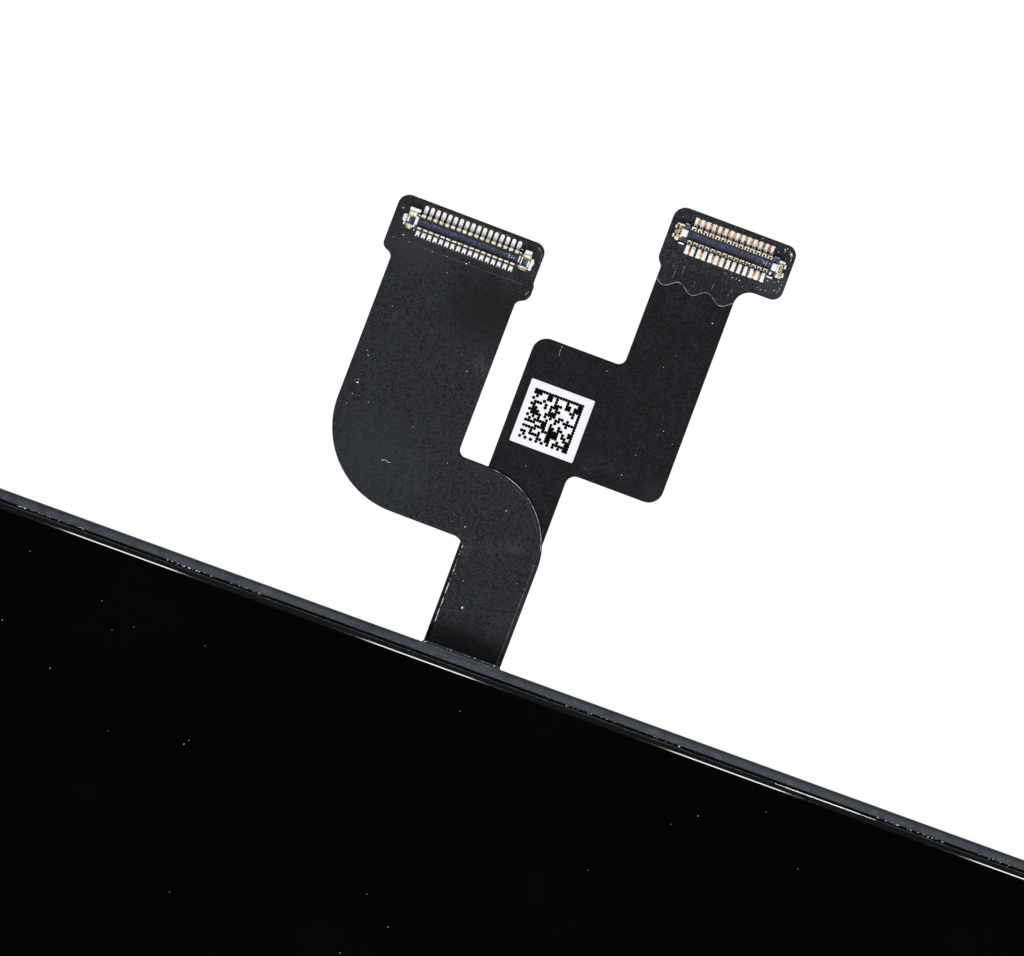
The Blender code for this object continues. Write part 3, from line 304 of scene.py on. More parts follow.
# Contact metals, the mouldings that hold them, and rolled steel
TIN = rippled_finish("reflowed_tin", ("DEDBE3", "FDFBFB", "FFFFFF"), 0.40, 0.11, 0.07, 0.005, 0.05)
GOLD = rippled_finish("flash_gold_plating", ("B4935A", "EFE6C4", "FFFCEC"), 0.36, 0.11, metallic=0.25)
BRASS = rippled_finish("plated_brass", ("5E4E20", "AEA46C", "E8E2BC"), 0.38, 0.13, metallic=0.35)
COPPER = rippled_finish("bare_copper_land", ("75421C", "B27A46", "E6C79C"), 0.45, 0.18, metallic=0.3)
OXIDE = rippled_finish("oxidised_copper", ("1A0F0B", "3E2A20", "775843"), 0.60, 0.20, metallic=0.2)
NAVY = rippled_finish("moulded_liquid_crystal_polymer", ("142435", "2A2C4E", "445070"), 0.45, 0.20, 0.07,
                      0.006)
# Painted shade: a near-black navy laid where the plugs' grooves and walls fall into shade.
NAVY_PAINTED_SHADE = plain_finish("shaded_liquid_crystal_polymer", "06080D", "0D1019", 0.60, 0.3, 0.08)
STEEL = rippled_finish("cold_rolled_stainless", ("8E9092", "A9ABAD", "BFC1C2"), 0.34, 2.5, 0.5, 0.003, 1.0,
                       stretch=(0.06, 1.0, 1.0))

# Films, paper, foam and the rest
ADHESIVE = plain_finish("black_adhesive_in_opening", "040405", "0C0B0D", 0.70, 0.3, 0.1, 0.004)
PAPER = plain_finish("coated_label_paper", "EDEDF1", "F7F7FA", 0.62, 0.8, 0.06)
INK = plain_finish("thermal_black_print", "040405", "0A0A0B", 0.70, 0.2, 0.05, ior=1.15)
LINT_AND_GLINT = plain_finish("pale_lint", "C9CACC", "F2F2F2", 0.70, 0.05, 0.03)
GRAPHITE = plain_finish("pressed_graphite_sheet", "1D1E20", "303236", 0.46, 3.0, 0.25, 0.006)
FOAM = plain_finish("black_foam_tape", "131314", "1F1F21", 0.80, 0.5, 0.12, 0.02)
MESH = earpiece_mesh_finish()
CLEAR_FILM = plain_finish("clear_acrylic_film", "B9C4C9", "D2DCE0", 0.16)
POLARISER = plain_finish("dark_polariser_film", "15161A", "202228", 0.22)
PANEL_GLASS = plain_finish("thin_panel_glass", "3E454A", "505960", 0.08)
SILICON = plain_finish("ground_silicon", "23252C", "363944", 0.28, stretch=(1.0, 0.1, 1.0))
ACRYLIC = plain_finish("moulded_light_guide", "D4DEE3", "E6EEF1", 0.12)
WHITE_FILM = plain_finish("white_polyester_film", "ECECE8", "F8F8F5", 0.38)


# Modelling helpers

def put_down():
    """Leave edit mode and deselect everything."""
    if bpy.context.object and bpy.context.object.mode == 'EDIT':
        bpy.ops.object.mode_set(mode='OBJECT')
    bpy.ops.object.select_all(action='DESELECT')


def take_up(piece):
    """Make a piece the only one selected."""
    put_down()
    piece.select_set(True)
    bpy.context.view_layer.objects.active = piece


def sized(piece, name, size):
    """Name a new primitive, and apply its size and place."""
    piece.name = name
    piece.data.name = name
    piece.scale = size
    bpy.ops.object.transform_apply(location=True, rotation=False, scale=True)
    return piece


def plate(name, x_low, x_high, y_low, y_high, z):
    """Flat rectangle that a sheet starts from."""
    put_down()
    bpy.ops.mesh.primitive_plane_add(
        size=1.0, location=((x_low + x_high) / 2, (y_low + y_high) / 2, z))
    return sized(bpy.context.object, name, (x_high - x_low, y_high - y_low, 1.0))


def block(name, x_low, x_high, y_low, y_high, z_low, z_high):
    """Rectangular blank that a solid piece starts from."""
    put_down()
    bpy.ops.mesh.primitive_cube_add(
        size=1.0, location=((x_low + x_high) / 2, (y_low + y_high) / 2, (z_low + z_high) / 2))
    return sized(bpy.context.object, name, (x_high - x_low, y_high - y_low, z_high - z_low))


def pick(piece, kind, wanted=lambda item, at: True):
    """Select the corners, edges or faces for which wanted(item, its middle) holds, or all of them."""
    if bpy.context.object is not piece or piece.mode != 'EDIT':
        take_up(piece)
        bpy.ops.object.mode_set(mode='EDIT')
    bpy.ops.mesh.select_mode(type=kind)
    bpy.ops.mesh.select_all(action='DESELECT')
    body = bmesh.from_edit_mesh(piece.data)
    items = {'VERT': body.verts, 'EDGE': body.edges, 'FACE': body.faces}[kind]
    for item in items:
        if kind == 'VERT':
            middle = item.co
        elif kind == 'EDGE':
            middle = (item.verts[0].co + item.verts[1].co) / 2
        else:
            middle = item.calc_center_median()
        if wanted(item, middle):
            item.select_set(True)
    body.select_flush_mode()
    bmesh.update_edit_mesh(piece.data)


def near(value, target, slack=0.004):
    """Whether a measure in mm meets its target."""
    return abs(value - target) < slack


def lies_at(item, axis, level, slack=0.004):
    """Whether all corners of an edge or face stand at one level of an axis."""
    return all(near(corner.co[axis], level, slack) for corner in item.verts)


def grow(piece, axis, start, end, also=lambda at: True):
    """Extrude the edges of a flat sheet that stand at one level of an axis, on to another level."""
    pick(piece, 'EDGE', lambda item, at: near(at[axis], start) and also(at))
    move = [0.0, 0.0, 0.0]
    move[axis] = end - start
    bpy.ops.mesh.extrude_edges_move(TRANSFORM_OT_translate={"value": move})


def shift(x, y=0.0):
    """Move what is selected."""
    bpy.ops.transform.translate(value=(x, y, 0.0))


def bevel(width, steps, affect='EDGES'):
    """Round the selected edges, or the corners of a flat sheet."""
    bpy.ops.mesh.bevel(offset=width, offset_type='OFFSET', segments=steps, affect=affect)


def turn_outwards():
    """Make all faces of the mesh point outwards."""
    bpy.ops.mesh.select_all(action='SELECT')
    bpy.ops.mesh.normals_make_consistent(inside=False)


def raise_faces(height):
    """Extrude the selected faces upwards, or down."""
    bpy.ops.mesh.extrude_region_move(TRANSFORM_OT_translate={"value": (0.0, 0.0, height)})


def inset(width, rise=0.0):
    """Inset the selected face, and lift or sink what is left of it."""
    bpy.ops.mesh.inset(thickness=width, depth=rise, use_even_offset=True)


def pick_corner(piece, x, y):
    """Select the corner of a flat sheet that is at a place."""
    pick(piece, 'VERT', lambda item, at: near(at.x, x, 0.02) and near(at.y, y, 0.02))


def shift_corner(piece, x, y, move_x, move_y=0.0):
    """Move one corner of a flat sheet."""
    pick_corner(piece, x, y)
    shift(move_x, move_y)


def one_sheet(piece, corners, thickness):
    """Merge a sheet's panels, round its corners (x, y, setback) and give it its thickness."""
    pick(piece, 'FACE')
    bpy.ops.mesh.dissolve_limited(angle_limit=0.0005)
    for x, y, setback in corners:
        pick_corner(piece, x, y)
        bevel(setback, max(4, min(28, round(setback * 7) + 3)), 'VERTICES')
    pick(piece, 'FACE')
    raise_faces(thickness)
    turn_outwards()


def soften_rim(piece, level, width, steps=2):
    """Bevel the edges round a flat top or underside."""
    def on_rim(edge, at):
        flat = [abs(face.normal.z) > 0.99 for face in edge.link_faces]
        return lies_at(edge, Z, level) and sorted(flat) == [False, True]
    pick(piece, 'EDGE', on_rim)
    bevel(width, steps)


def edge_line(piece, wanted, name, radius, finish, where):
    """Fine line of resin, painted glint or painted sheen along the edges of a piece that pass the test."""
    pick(piece, 'EDGE', wanted)
    bpy.ops.mesh.duplicate()
    bpy.ops.mesh.separate(type='SELECTED')
    put_down()
    line = next(other for other in bpy.data.objects if other.name.startswith(piece.name + "."))
    take_up(line)
    bpy.ops.object.convert(target='CURVE')
    line.name = name
    return swept(line, radius, finish, where)


def swept(line, radius, finish, where):
    """Give a curve its round section, and merge the caps of its ends with its wall."""
    line.data.bevel_depth = radius
    line.data.bevel_resolution = 1
    line.data.use_fill_caps = True
    bpy.ops.object.convert(target='MESH')
    pick(line, 'FACE')
    bpy.ops.mesh.remove_doubles(threshold=0.0005)
    turn_outwards()
    put_down()
    return finished(line, finish, where, smooth=60.0)


def cut(piece, other, operation='DIFFERENCE'):
    """Cut, join or trim a piece with another one, which is used up."""
    take_up(piece)
    modifier = piece.modifiers.new("cut", 'BOOLEAN')
    modifier.operation = operation
    modifier.solver = 'EXACT'
    modifier.object = other
    bpy.ops.object.modifier_apply(modifier=modifier.name)
    bpy.data.objects.remove(other, do_unlink=True)


def in_a_row(piece, count, step):
    """Repeat a piece along a step, all in one mesh."""
    take_up(piece)
    modifier = piece.modifiers.new("row", 'ARRAY')
    modifier.use_relative_offset = False
    modifier.use_constant_offset = True
    modifier.constant_offset_displace = step
    modifier.count = count
    modifier.use_merge_vertices = False
    bpy.ops.object.modifier_apply(modifier=modifier.name)


def joined(name, pieces):
    """Join small pieces of one finish into one object."""
    put_down()
    for piece in pieces:
        piece.select_set(True)
    bpy.context.view_layer.objects.active = pieces[0]
    if len(pieces) > 1:
        bpy.ops.object.join()
    pieces[0].name = name
    return pieces[0]


def finished(piece, finish, where=SCREEN, stands_for=(), smooth=32.0, even_flats=False):
    """Set a piece at its real size and place, with its finish, on the screen's body."""
    take_up(piece)
    x, y, turn = where
    piece.scale = (MM, MM, MM)
    piece.rotation_euler = (0.0, 0.0, math.radians(turn))
    piece.location = (x * MM, y * MM, 0.0)
    bpy.ops.object.transform_apply(location=True, rotation=True, scale=True)
    bpy.ops.object.shade_smooth_by_angle(angle=math.radians(smooth))
    if even_flats:
        modifier = piece.modifiers.new("even", 'WEIGHTED_NORMAL')
        modifier.keep_sharp = True
        bpy.ops.object.modifier_apply(modifier=modifier.name)
    piece.data.materials.clear()
    piece.data.materials.append(finish)
    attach(piece, "root")
    if stands_for:
        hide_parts(*stands_for)
    return piece


# Cover glass

FRAME_LENGTH = 141.0
FRAME_WIDTH = 68.4
CORNER_RADIUS = 9.3
CORNER_STEPS = 26
RIM_WIDTH = 0.545
GLASS_INSET = 0.67
GLASS_CURVE_WIDTH = 0.55
GLASS_CURVE_DROP = 0.22
EARPIECE_X = -67.1
SLOT_LENGTH = 12.0
SLOT_WIDTH = 1.1


def rounded_blank(name, inset_mm, z):
    """Flat blank of the screen's outline, this far inside its outer edge."""
    x = FRAME_LENGTH / 2 - inset_mm
    y = FRAME_WIDTH / 2 - inset_mm
    blank = plate(name, -x, x, -y, y, z)
    pick(blank, 'VERT')
    bevel(CORNER_RADIUS - inset_mm, CORNER_STEPS, 'VERTICES')
    pick(blank, 'FACE')
    return blank


def curve_over(width, height, steps):
    """Inset the selected face over a quarter of an ellipse, from upright to flat."""
    for step in range(steps):
        low = math.radians(90 * step / steps)
        high = math.radians(90 * (step + 1) / steps)
        inset(width * (math.cos(low) - math.cos(high)), height * (math.sin(high) - math.sin(low)))


def slot_blank(name, margin, z_low, z_high):
    """Long round-ended block of the earpiece slot's outline, this far inside it."""
    half = SLOT_WIDTH / 2 - margin
    reach = SLOT_LENGTH / 2 - margin
    blank = block(name, EARPIECE_X - half, EARPIECE_X + half, -reach, reach, z_low, z_high)
    pick(blank, 'EDGE', lambda item, at: near(at.z, (z_low + z_high) / 2))
    bevel(half * 0.98, 12)
    put_down()
    return blank


def earpiece_slot_cutter():
    """Slot through glass and frame."""
    return slot_blank("earpiece_slot_cutter", 0.0, -2.0, 1.0)


def make_earpiece_gasket():
    """Foam ring pressed round the earpiece mesh, which closes the slot to light."""
    level = top_of("earpiece_mesh") - 0.02
    gasket = slot_blank("earpiece_gasket", 0.006, level - 0.30, level)
    cut(gasket, slot_blank("gasket_opening", 0.10, level - 1.0, level + 1.0))
    return finished(gasket, FOAM)


def make_cover_glass():
    """Plate whose front edge falls away in a shallow curve, with the earpiece slot through it."""
    glass = rounded_blank("cover_glass_plate", GLASS_INSET, GLASS_BACK)
    raise_faces(-GLASS_CURVE_DROP - GLASS_BACK)
    curve_over(GLASS_CURVE_WIDTH, GLASS_CURVE_DROP, 12)
    turn_outwards()
    soften_rim(glass, GLASS_BACK, 0.06)
    drop = GLASS_CURVE_DROP * (math.sin(math.radians(22.5)) - 1)
    # Painted glint: a grey broken line round the glass's curved edge.
    edge_line(glass, lambda item, at: near(at.z, drop) and near(item.verts[0].co.z, item.verts[1].co.z),
              "glass_ground_edge", 0.016, GLASS_GLINT, SCREEN)
    cut(glass, earpiece_slot_cutter())
    return finished(glass, GLASS, stands_for=["cover_glass"], smooth=40.0, even_flats=True)


# Frame

SEAT_WIDTH = 1.4
SEAT_TOP = -0.82
SEAT_UNDER = -1.17
SKIRT_INSET = 0.9
SKIRT_WALL = 0.6
END_BAR_WIDTH = 5.2
RIM_CROWN = 0.30
RIM_CROWN_DROP = 0.25
EXIT_LEFT = -2.42
EXIT_RIGHT = 2.06
EXIT_CLEARANCE = 0.35
LIP_REACH = 0.14
LIP_FLARE = 0.50
LIP_SINK = 0.03
HOOK_HALF = 1.3
HOOK_LOW, HOOK_HIGH = SEAT_UNDER - 1.1, SEAT_UNDER - 0.6
HOOK_PITCH = 16.5
SENSOR_Y, SENSOR_RADIUS = 10.5, 1.5


def snap_hooks():
    """Wedge-nosed hook, modelled once and copied along the skirt."""
    hook = block("snap_hook", -HOOK_HALF, HOOK_HALF, -0.3, 0.35, HOOK_LOW, HOOK_HIGH)
    for level, width, steps in ((HOOK_LOW, 0.30, 3), (HOOK_HIGH, 0.07, 2)):
        pick(hook, 'EDGE', lambda item, at: at.y > 0.3 and near(at.z, level))
        bevel(width, steps)
    put_down()
    side_x, side_y = FRAME_LENGTH / 2 - SKIRT_INSET, FRAME_WIDTH / 2 - SKIRT_INSET
    places = [(step * HOOK_PITCH, side * side_y, 90.0 - side * 90.0)
              for side in (-1, 1) for step in range(-3, 4)]
    places += [(side * side_x, step * HOOK_PITCH, side * -90.0) for side in (1, -1) for step in (-1, 0, 1)]
    copies = []
    for x, y, turn in places:
        take_up(hook)
        bpy.ops.object.duplicate(linked=False)
        copy = bpy.context.object
        copy.location = (x, y, 0.0)
        copy.rotation_euler = (0.0, 0.0, math.radians(turn))
        bpy.ops.object.transform_apply(location=True, rotation=True, scale=False)
        copies.append(copy)
    bpy.data.objects.remove(hook, do_unlink=True)
    return joined("snap_hooks", copies)


def make_frame():
    """Moulded frame: crowned rim, seat for the glass, end bar, and the skirt with its hooks."""
    rim = rounded_blank("slate_frame_moulding", 0.0, SEAT_UNDER)
    raise_faces(FRAME_TOP - RIM_CROWN_DROP - SEAT_UNDER)
    curve_over(RIM_CROWN, RIM_CROWN_DROP, 8)
    inset(RIM_WIDTH - RIM_CROWN - 0.015)
    inset(0.015, -0.02)
    raise_faces(SEAT_TOP - FRAME_TOP + 0.02)
    inset(SEAT_WIDTH)
    bpy.ops.mesh.delete(type='FACE')
    pick(rim, 'FACE', lambda item, at: near(at.z, SEAT_UNDER) and abs(item.normal.z) > 0.9)
    inset(SKIRT_INSET)
    raise_faces(SKIRT_END - SEAT_UNDER)
    inset(SKIRT_WALL)
    raise_faces(SEAT_UNDER - SKIRT_END)
    inset(RIM_WIDTH + SEAT_WIDTH - SKIRT_INSET - SKIRT_WALL)
    bpy.ops.mesh.delete(type='FACE')
    pick(rim, 'EDGE', lambda item, at: len(item.link_faces) == 1)
    bpy.ops.mesh.bridge_edge_loops()
    turn_outwards()
    put_down()

    bar_inset = RIM_WIDTH + SEAT_WIDTH / 2
    bar_end = -FRAME_LENGTH / 2 + RIM_WIDTH + END_BAR_WIDTH
    bar = rounded_blank("end_bar", bar_inset, SEAT_UNDER + 0.01)
    raise_faces(SEAT_TOP - SEAT_UNDER - 0.02)
    turn_outwards()
    bpy.ops.mesh.bisect(plane_co=(bar_end, 0.0, 0.0), plane_no=(1.0, 0.0, 0.0), use_fill=True,
                        clear_outer=True)
    put_down()
    cut(rim, bar, 'UNION')
    cut(rim, earpiece_slot_cutter())
    put_down()
    bpy.ops.mesh.primitive_cylinder_add(vertices=32, radius=SENSOR_RADIUS, depth=2.0,
                                        location=(EARPIECE_X, SENSOR_Y, SEAT_TOP))
    bpy.ops.object.transform_apply(location=True, rotation=False, scale=False)
    cut(rim, bpy.context.object)

    left, right = EXIT_X + EXIT_LEFT, EXIT_X + EXIT_RIGHT
    lip = block("exit_lip", left, right, EXIT_Y - 0.35, EXIT_Y + LIP_REACH, SEAT_UNDER + LIP_SINK,
                FRAME_TOP - LIP_SINK)
    for side, end in ((-1, left), (1, right)):
        pick(lip, 'VERT', lambda item, at: near(at.x, end) and at.y < EXIT_Y)
        shift(side * LIP_FLARE)
    pick(lip, 'EDGE', lambda item, at: at.y > EXIT_Y and near(at.z, FRAME_TOP - LIP_SINK))
    bevel(0.05, 3)
    put_down()
    cut(rim, lip, 'UNION')
    groove = block("lip_groove", left + 0.10, right - 0.06, EXIT_Y + 0.015, EXIT_Y + 0.075,
                   FRAME_TOP - 0.20, FRAME_TOP + 0.10)
    pick(groove, 'EDGE', lambda item, at: near(at.z, FRAME_TOP - 0.05))
    bevel(0.025, 3)
    put_down()
    cut(rim, groove)
    cut(rim, block("exit_notch", left - EXIT_CLEARANCE, right + EXIT_CLEARANCE,
                   EXIT_Y - SKIRT_INSET - 2 * SKIRT_WALL, EXIT_Y - SKIRT_INSET / 2,
                   SKIRT_END - 1.0, DISPLAY_TOP + EXIT_CLEARANCE))
    cut(rim, snap_hooks(), 'UNION')
    return finished(rim, SLATE, stands_for=["bezel_frame"], smooth=38.0, even_flats=True)


# Flexible circuits

TAIL = 10.0
STEM_LEFT, STEM_RIGHT = -2.26, 2.125
ARM_LOW, ARM_HIGH = 6.18, 10.51
NECK_LEFT, NECK_RIGHT = -11.875, -4.37
NECK_END, HEAD_START, HEAD_STEP, STEP_END, HEAD_END = 19.77, 20.08, 20.88, 21.07, 23.305
HEAD_LEFT, HEAD_RIGHT, HEAD_TAB_RIGHT = -12.555, -3.795, -3.702
ELBOW = 4.5
SECOND_LINE = 0.25


def make_display_circuit():
    """Upper circuit, die cut from one sheet: stem, sideways arm, neck and the plug's head."""
    sheet = plate("display_circuit", STEM_LEFT, STEM_RIGHT, -TAIL, ARM_LOW, DISPLAY_UNDER)
    grow(sheet, Y, ARM_LOW, ARM_HIGH)
    grow(sheet, X, STEM_LEFT, NECK_RIGHT, lambda at: at.y > ARM_LOW)
    grow(sheet, X, NECK_RIGHT, NECK_LEFT)
    grow(sheet, Y, ARM_HIGH, NECK_END, lambda at: at.x < NECK_RIGHT)
    grow(sheet, Y, NECK_END, HEAD_START)
    shift_corner(sheet, NECK_LEFT, HEAD_START, HEAD_LEFT - NECK_LEFT)
    shift_corner(sheet, NECK_RIGHT, HEAD_START, HEAD_TAB_RIGHT - NECK_RIGHT)
    grow(sheet, Y, HEAD_START, HEAD_STEP)
    grow(sheet, Y, HEAD_STEP, STEP_END)
    shift_corner(sheet, HEAD_TAB_RIGHT, STEP_END, HEAD_RIGHT - HEAD_TAB_RIGHT)
    grow(sheet, Y, STEP_END, HEAD_END)
    one_sheet(sheet, [
        (STEM_RIGHT, ARM_HIGH, ELBOW), (NECK_RIGHT, ARM_HIGH, 0.45), (NECK_RIGHT, NECK_END, 0.24),
        (HEAD_TAB_RIGHT, HEAD_START, 0.34), (HEAD_TAB_RIGHT, HEAD_STEP, 0.08),
        (HEAD_RIGHT, STEP_END, 0.08), (HEAD_RIGHT, HEAD_END, 0.60), (HEAD_LEFT, HEAD_END, 0.66),
        (HEAD_LEFT, HEAD_START, 0.26), (NECK_LEFT, NECK_END, 0.24), (NECK_LEFT, ARM_LOW, 5.05),
        (STEM_LEFT, ARM_LOW, 0.70),
    ], DISPLAY_TOP - DISPLAY_UNDER)
    soften_rim(sheet, DISPLAY_TOP, 0.07, 3)
    pick(sheet, 'FACE', lambda item, at: near(at.z, DISPLAY_TOP) and item.normal.z > 0.99)
    inset(0.18)
    inset(0.06, -0.012)

    def along_elbow(item, at, offset, low):
        reach = math.hypot(at.x - (STEM_RIGHT - ELBOW), at.y - (ARM_HIGH - ELBOW))
        return (lies_at(item, Z, DISPLAY_TOP, 0.002) and low < at.y < 11.0 and at.x > -2.5
                and near(reach, ELBOW - offset, 0.03))

    # Painted glint along the elbow's outer cut edge. The coverlay's second edge, inside the elbow and along
    # the stem, is a real step drawn with a painted sheen.
    edge_line(sheet, lambda item, at: along_elbow(item, at, 0.07, 7.0), "display_curve_glint", 0.016,
              FILM_GLINT, DISPLAY)
    edge_line(sheet, lambda item, at: along_elbow(item, at, SECOND_LINE, 6.6), "display_curve_second_line",
              0.012, FOLD_SHEEN, DISPLAY)
    edge_line(sheet, lambda item, at: lies_at(item, X, STEM_RIGHT - SECOND_LINE, 0.01) and at.y < ARM_HIGH
              and near(at.z, DISPLAY_TOP, 0.002), "display_stem_second_line", 0.042, FOLD_SHEEN,
              DISPLAY)
    return finished(sheet, COVERLAY, DISPLAY, ["display_flex"], smooth=50.0, even_flats=True)


TOUCH_LEFT, TOUCH_RIGHT = -2.46, 1.952
FLAG_LOW, FLAG_HIGH = 11.707, 18.482
FLAG_RIGHT = 7.30
TOUCH_NECK_LEFT = 2.725
TOUCH_HEAD_LOW, TOUCH_HEAD_HIGH = 24.90, 28.135
TOUCH_HEAD_LEFT, TOUCH_HEAD_RIGHT = 2.40, 9.70
NECK_STEP = 0.30


def touch_blank(name, margin, neck_top, z):
    """Stem, flag and neck that the touch circuit and its shield film share."""
    left, right = TOUCH_LEFT + margin, TOUCH_RIGHT - margin
    low, high = FLAG_LOW + margin, FLAG_HIGH - margin
    neck_left = TOUCH_NECK_LEFT + margin
    sheet = plate(name, left, right, -TAIL + margin, low, z)
    grow(sheet, Y, low, high)
    grow(sheet, X, right, neck_left, lambda at: at.y > low + 1.0)
    grow(sheet, X, neck_left, FLAG_RIGHT - margin)
    grow(sheet, Y, high, neck_top, lambda at: at.x > neck_left + 0.1)
    return sheet


def make_touch_circuit():
    """Lower circuit: stem, wide flag, neck and its plug's head, which steps out to the right."""
    step_up = TOUCH_HEAD_LOW - 0.33
    step_end = step_up + NECK_STEP
    rise = TOUCH_HEAD_LOW - step_end
    sheet = touch_blank("touch_circuit", 0.0, step_up, TOUCH_UNDER)
    grow(sheet, Y, step_up, step_end)
    shift_corner(sheet, TOUCH_NECK_LEFT, step_end, TOUCH_HEAD_LEFT - TOUCH_NECK_LEFT)
    shift_corner(sheet, FLAG_RIGHT, step_end, 0.0, rise)
    grow(sheet, Y, step_end + rise / 2, TOUCH_HEAD_HIGH - rise / 2)
    shift_corner(sheet, TOUCH_HEAD_LEFT, TOUCH_HEAD_HIGH - rise, 0.0, rise)
    grow(sheet, X, FLAG_RIGHT, TOUCH_HEAD_RIGHT, lambda at: at.y > TOUCH_HEAD_LOW + 1.0)
    one_sheet(sheet, [
        (TOUCH_RIGHT, FLAG_LOW, 0.55), (FLAG_RIGHT, FLAG_LOW, 0.86), (FLAG_RIGHT, TOUCH_HEAD_LOW, 0.95),
        (TOUCH_HEAD_RIGHT, TOUCH_HEAD_LOW, 0.60), (TOUCH_HEAD_RIGHT, TOUCH_HEAD_HIGH, 0.60),
        (TOUCH_HEAD_LEFT, TOUCH_HEAD_HIGH, 0.72), (TOUCH_HEAD_LEFT, step_end, 0.25),
        (TOUCH_NECK_LEFT, step_up, 0.16), (TOUCH_NECK_LEFT, FLAG_HIGH, 0.45),
        (TOUCH_LEFT, FLAG_HIGH, 0.86),
    ], TOUCH_TOP - TOUCH_UNDER)
    soften_rim(sheet, TOUCH_TOP, 0.07, 3)
    return finished(sheet, TOUCH_COVERLAY, TOUCH, ["touch_flex"], smooth=50.0, even_flats=True)


WAVE_LEVEL = 23.79
WAVE_HEIGHT = 0.34
WAVE_PLACES = [3.18, 4.04, 4.88, 5.72, 6.62]


def make_shield_film():
    """Shield film on the touch circuit, whose far edge is die cut in waves, and its resin line with a painted
    glint in broken runs.
    """
    margin = 0.04
    film = touch_blank("touch_shield_film_sheet", margin, WAVE_LEVEL, FILM_UNDER)
    waves = [(x, -WAVE_HEIGHT if order % 2 == 0 else WAVE_HEIGHT) for order, x in enumerate(WAVE_PLACES)]
    for x in WAVE_PLACES:
        pick(film, 'FACE', lambda item, at: at.y > FLAG_HIGH)
        bpy.ops.mesh.bisect(plane_co=(x, 0.0, 0.0), plane_no=(1.0, 0.0, 0.0))
    for x, rise in waves + [(FLAG_RIGHT - margin, WAVE_HEIGHT / 2)]:
        shift_corner(film, x, WAVE_LEVEL, 0.0, rise)
    one_sheet(film, [(x, WAVE_LEVEL + rise, 0.34) for x, rise in waves] + [
        (TOUCH_RIGHT - margin, FLAG_LOW + margin, 0.59), (FLAG_RIGHT - margin, FLAG_LOW + margin, 0.82),
        (TOUCH_NECK_LEFT + margin, FLAG_HIGH - margin, 0.49), (TOUCH_LEFT + margin, FLAG_HIGH - margin, 0.82),
    ], FILM_TOP - FILM_UNDER)

    # The resin line along the film's wave edge is pale in broken runs, a painted glint.
    edge_line(film, lambda item, at: lies_at(item, Z, FILM_TOP) and at.y > WAVE_LEVEL - 1.5 * WAVE_HEIGHT,
              "film_edge_resin", 0.021, EDGE_RESIN_AND_GLINT, TOUCH)
    soften_rim(film, FILM_TOP, 0.010, 1)
    return finished(film, SHIELD_FILM, TOUCH, ["touch_shield_film"], smooth=50.0, even_flats=True)


# Plugs

PITCH = 0.35

# Where a plug stands: x, y, its housing's underside, its circuit's frame and its first contact
DISPLAY_PLUG = (-8.11, 22.00, bottom_of("display_connector"), DISPLAY, -8 * PITCH)
TOUCH_PLUG = (6.02, 26.72, bottom_of("touch_connector"), TOUCH, 0.025 - 6.5 * PITCH)
COPPER_GAPS = (0, 2, 4, 5, 11, 12)


def nugget(name, x_low, x_high, y_low, y_high, z_low, z_high, rounding):
    """Small formed bar with rounded upright corners and a crowned top."""
    width = min(x_high - x_low, y_high - y_low)
    rounding = min(rounding, width * 0.46)
    slope = min(width * 0.16, rounding * 0.5)
    crown = min(0.03, (z_high - z_low) * 0.45)
    bar = block(name, x_low, x_high, y_low, y_high, z_low, z_high - crown)
    middle = (z_low + z_high - crown) / 2
    pick(bar, 'EDGE', lambda item, at: near(at.z, middle, 0.001))
    bevel(rounding, 3)
    pick(bar, 'FACE', lambda item, at: item.normal.z > 0.9)
    inset(slope, crown * 0.65)
    inset(slope * 0.8, crown * 0.35)
    put_down()
    return bar


def small_parts(name, finish, plug, bars, contacts=1, stands_for=()):
    """Small formed bars, each (x, x, y, y, z, z, rounding) from the plug's middle and its housing's
    underside, or from its first contact where they are repeated at the pitch."""
    x, y, base, where, first = plug
    x += first if contacts > 1 else 0.0
    group = joined(name, [
        nugget(name + "_bar", x + x_low, x + x_high, y + y_low, y + y_high, base + z_low, base + z_high,
               rounding) for x_low, x_high, y_low, y_high, z_low, z_high, rounding in bars])
    if contacts > 1:
        in_a_row(group, contacts, (PITCH, 0.0, 0.0))
    return finished(group, finish, where, stands_for, smooth=60.0)


def grooved_housing(name, plug, off, half_length, half_width, wall, node):
    """Plug housing: a bar a little off the plug's middle, with a long groove for the socket's wall
    and bevelled edges."""
    height, end_wall, floor = 0.42, 0.34, 0.12
    x, y, base, where = plug[:4]
    y += off
    housing = block(name, x - half_length, x + half_length, y - half_width, y + half_width,
                    base, base + height)
    pick(housing, 'FACE', lambda item, at: item.normal.z > 0.9)
    inset(wall)
    for side in (-1, 1):
        pick(housing, 'VERT', lambda item, at: near(at.x, x + side * (half_length - wall)))
        shift(side * (wall - end_wall))
    pick(housing, 'FACE', lambda item, at: item.normal.z > 0.9 and near(at.x, x) and near(at.y, y))
    raise_faces(floor - height)
    pick(housing, 'EDGE')
    bevel(0.018, 2)
    return finished(housing, NAVY, where, [node], smooth=40.0, even_flats=True)


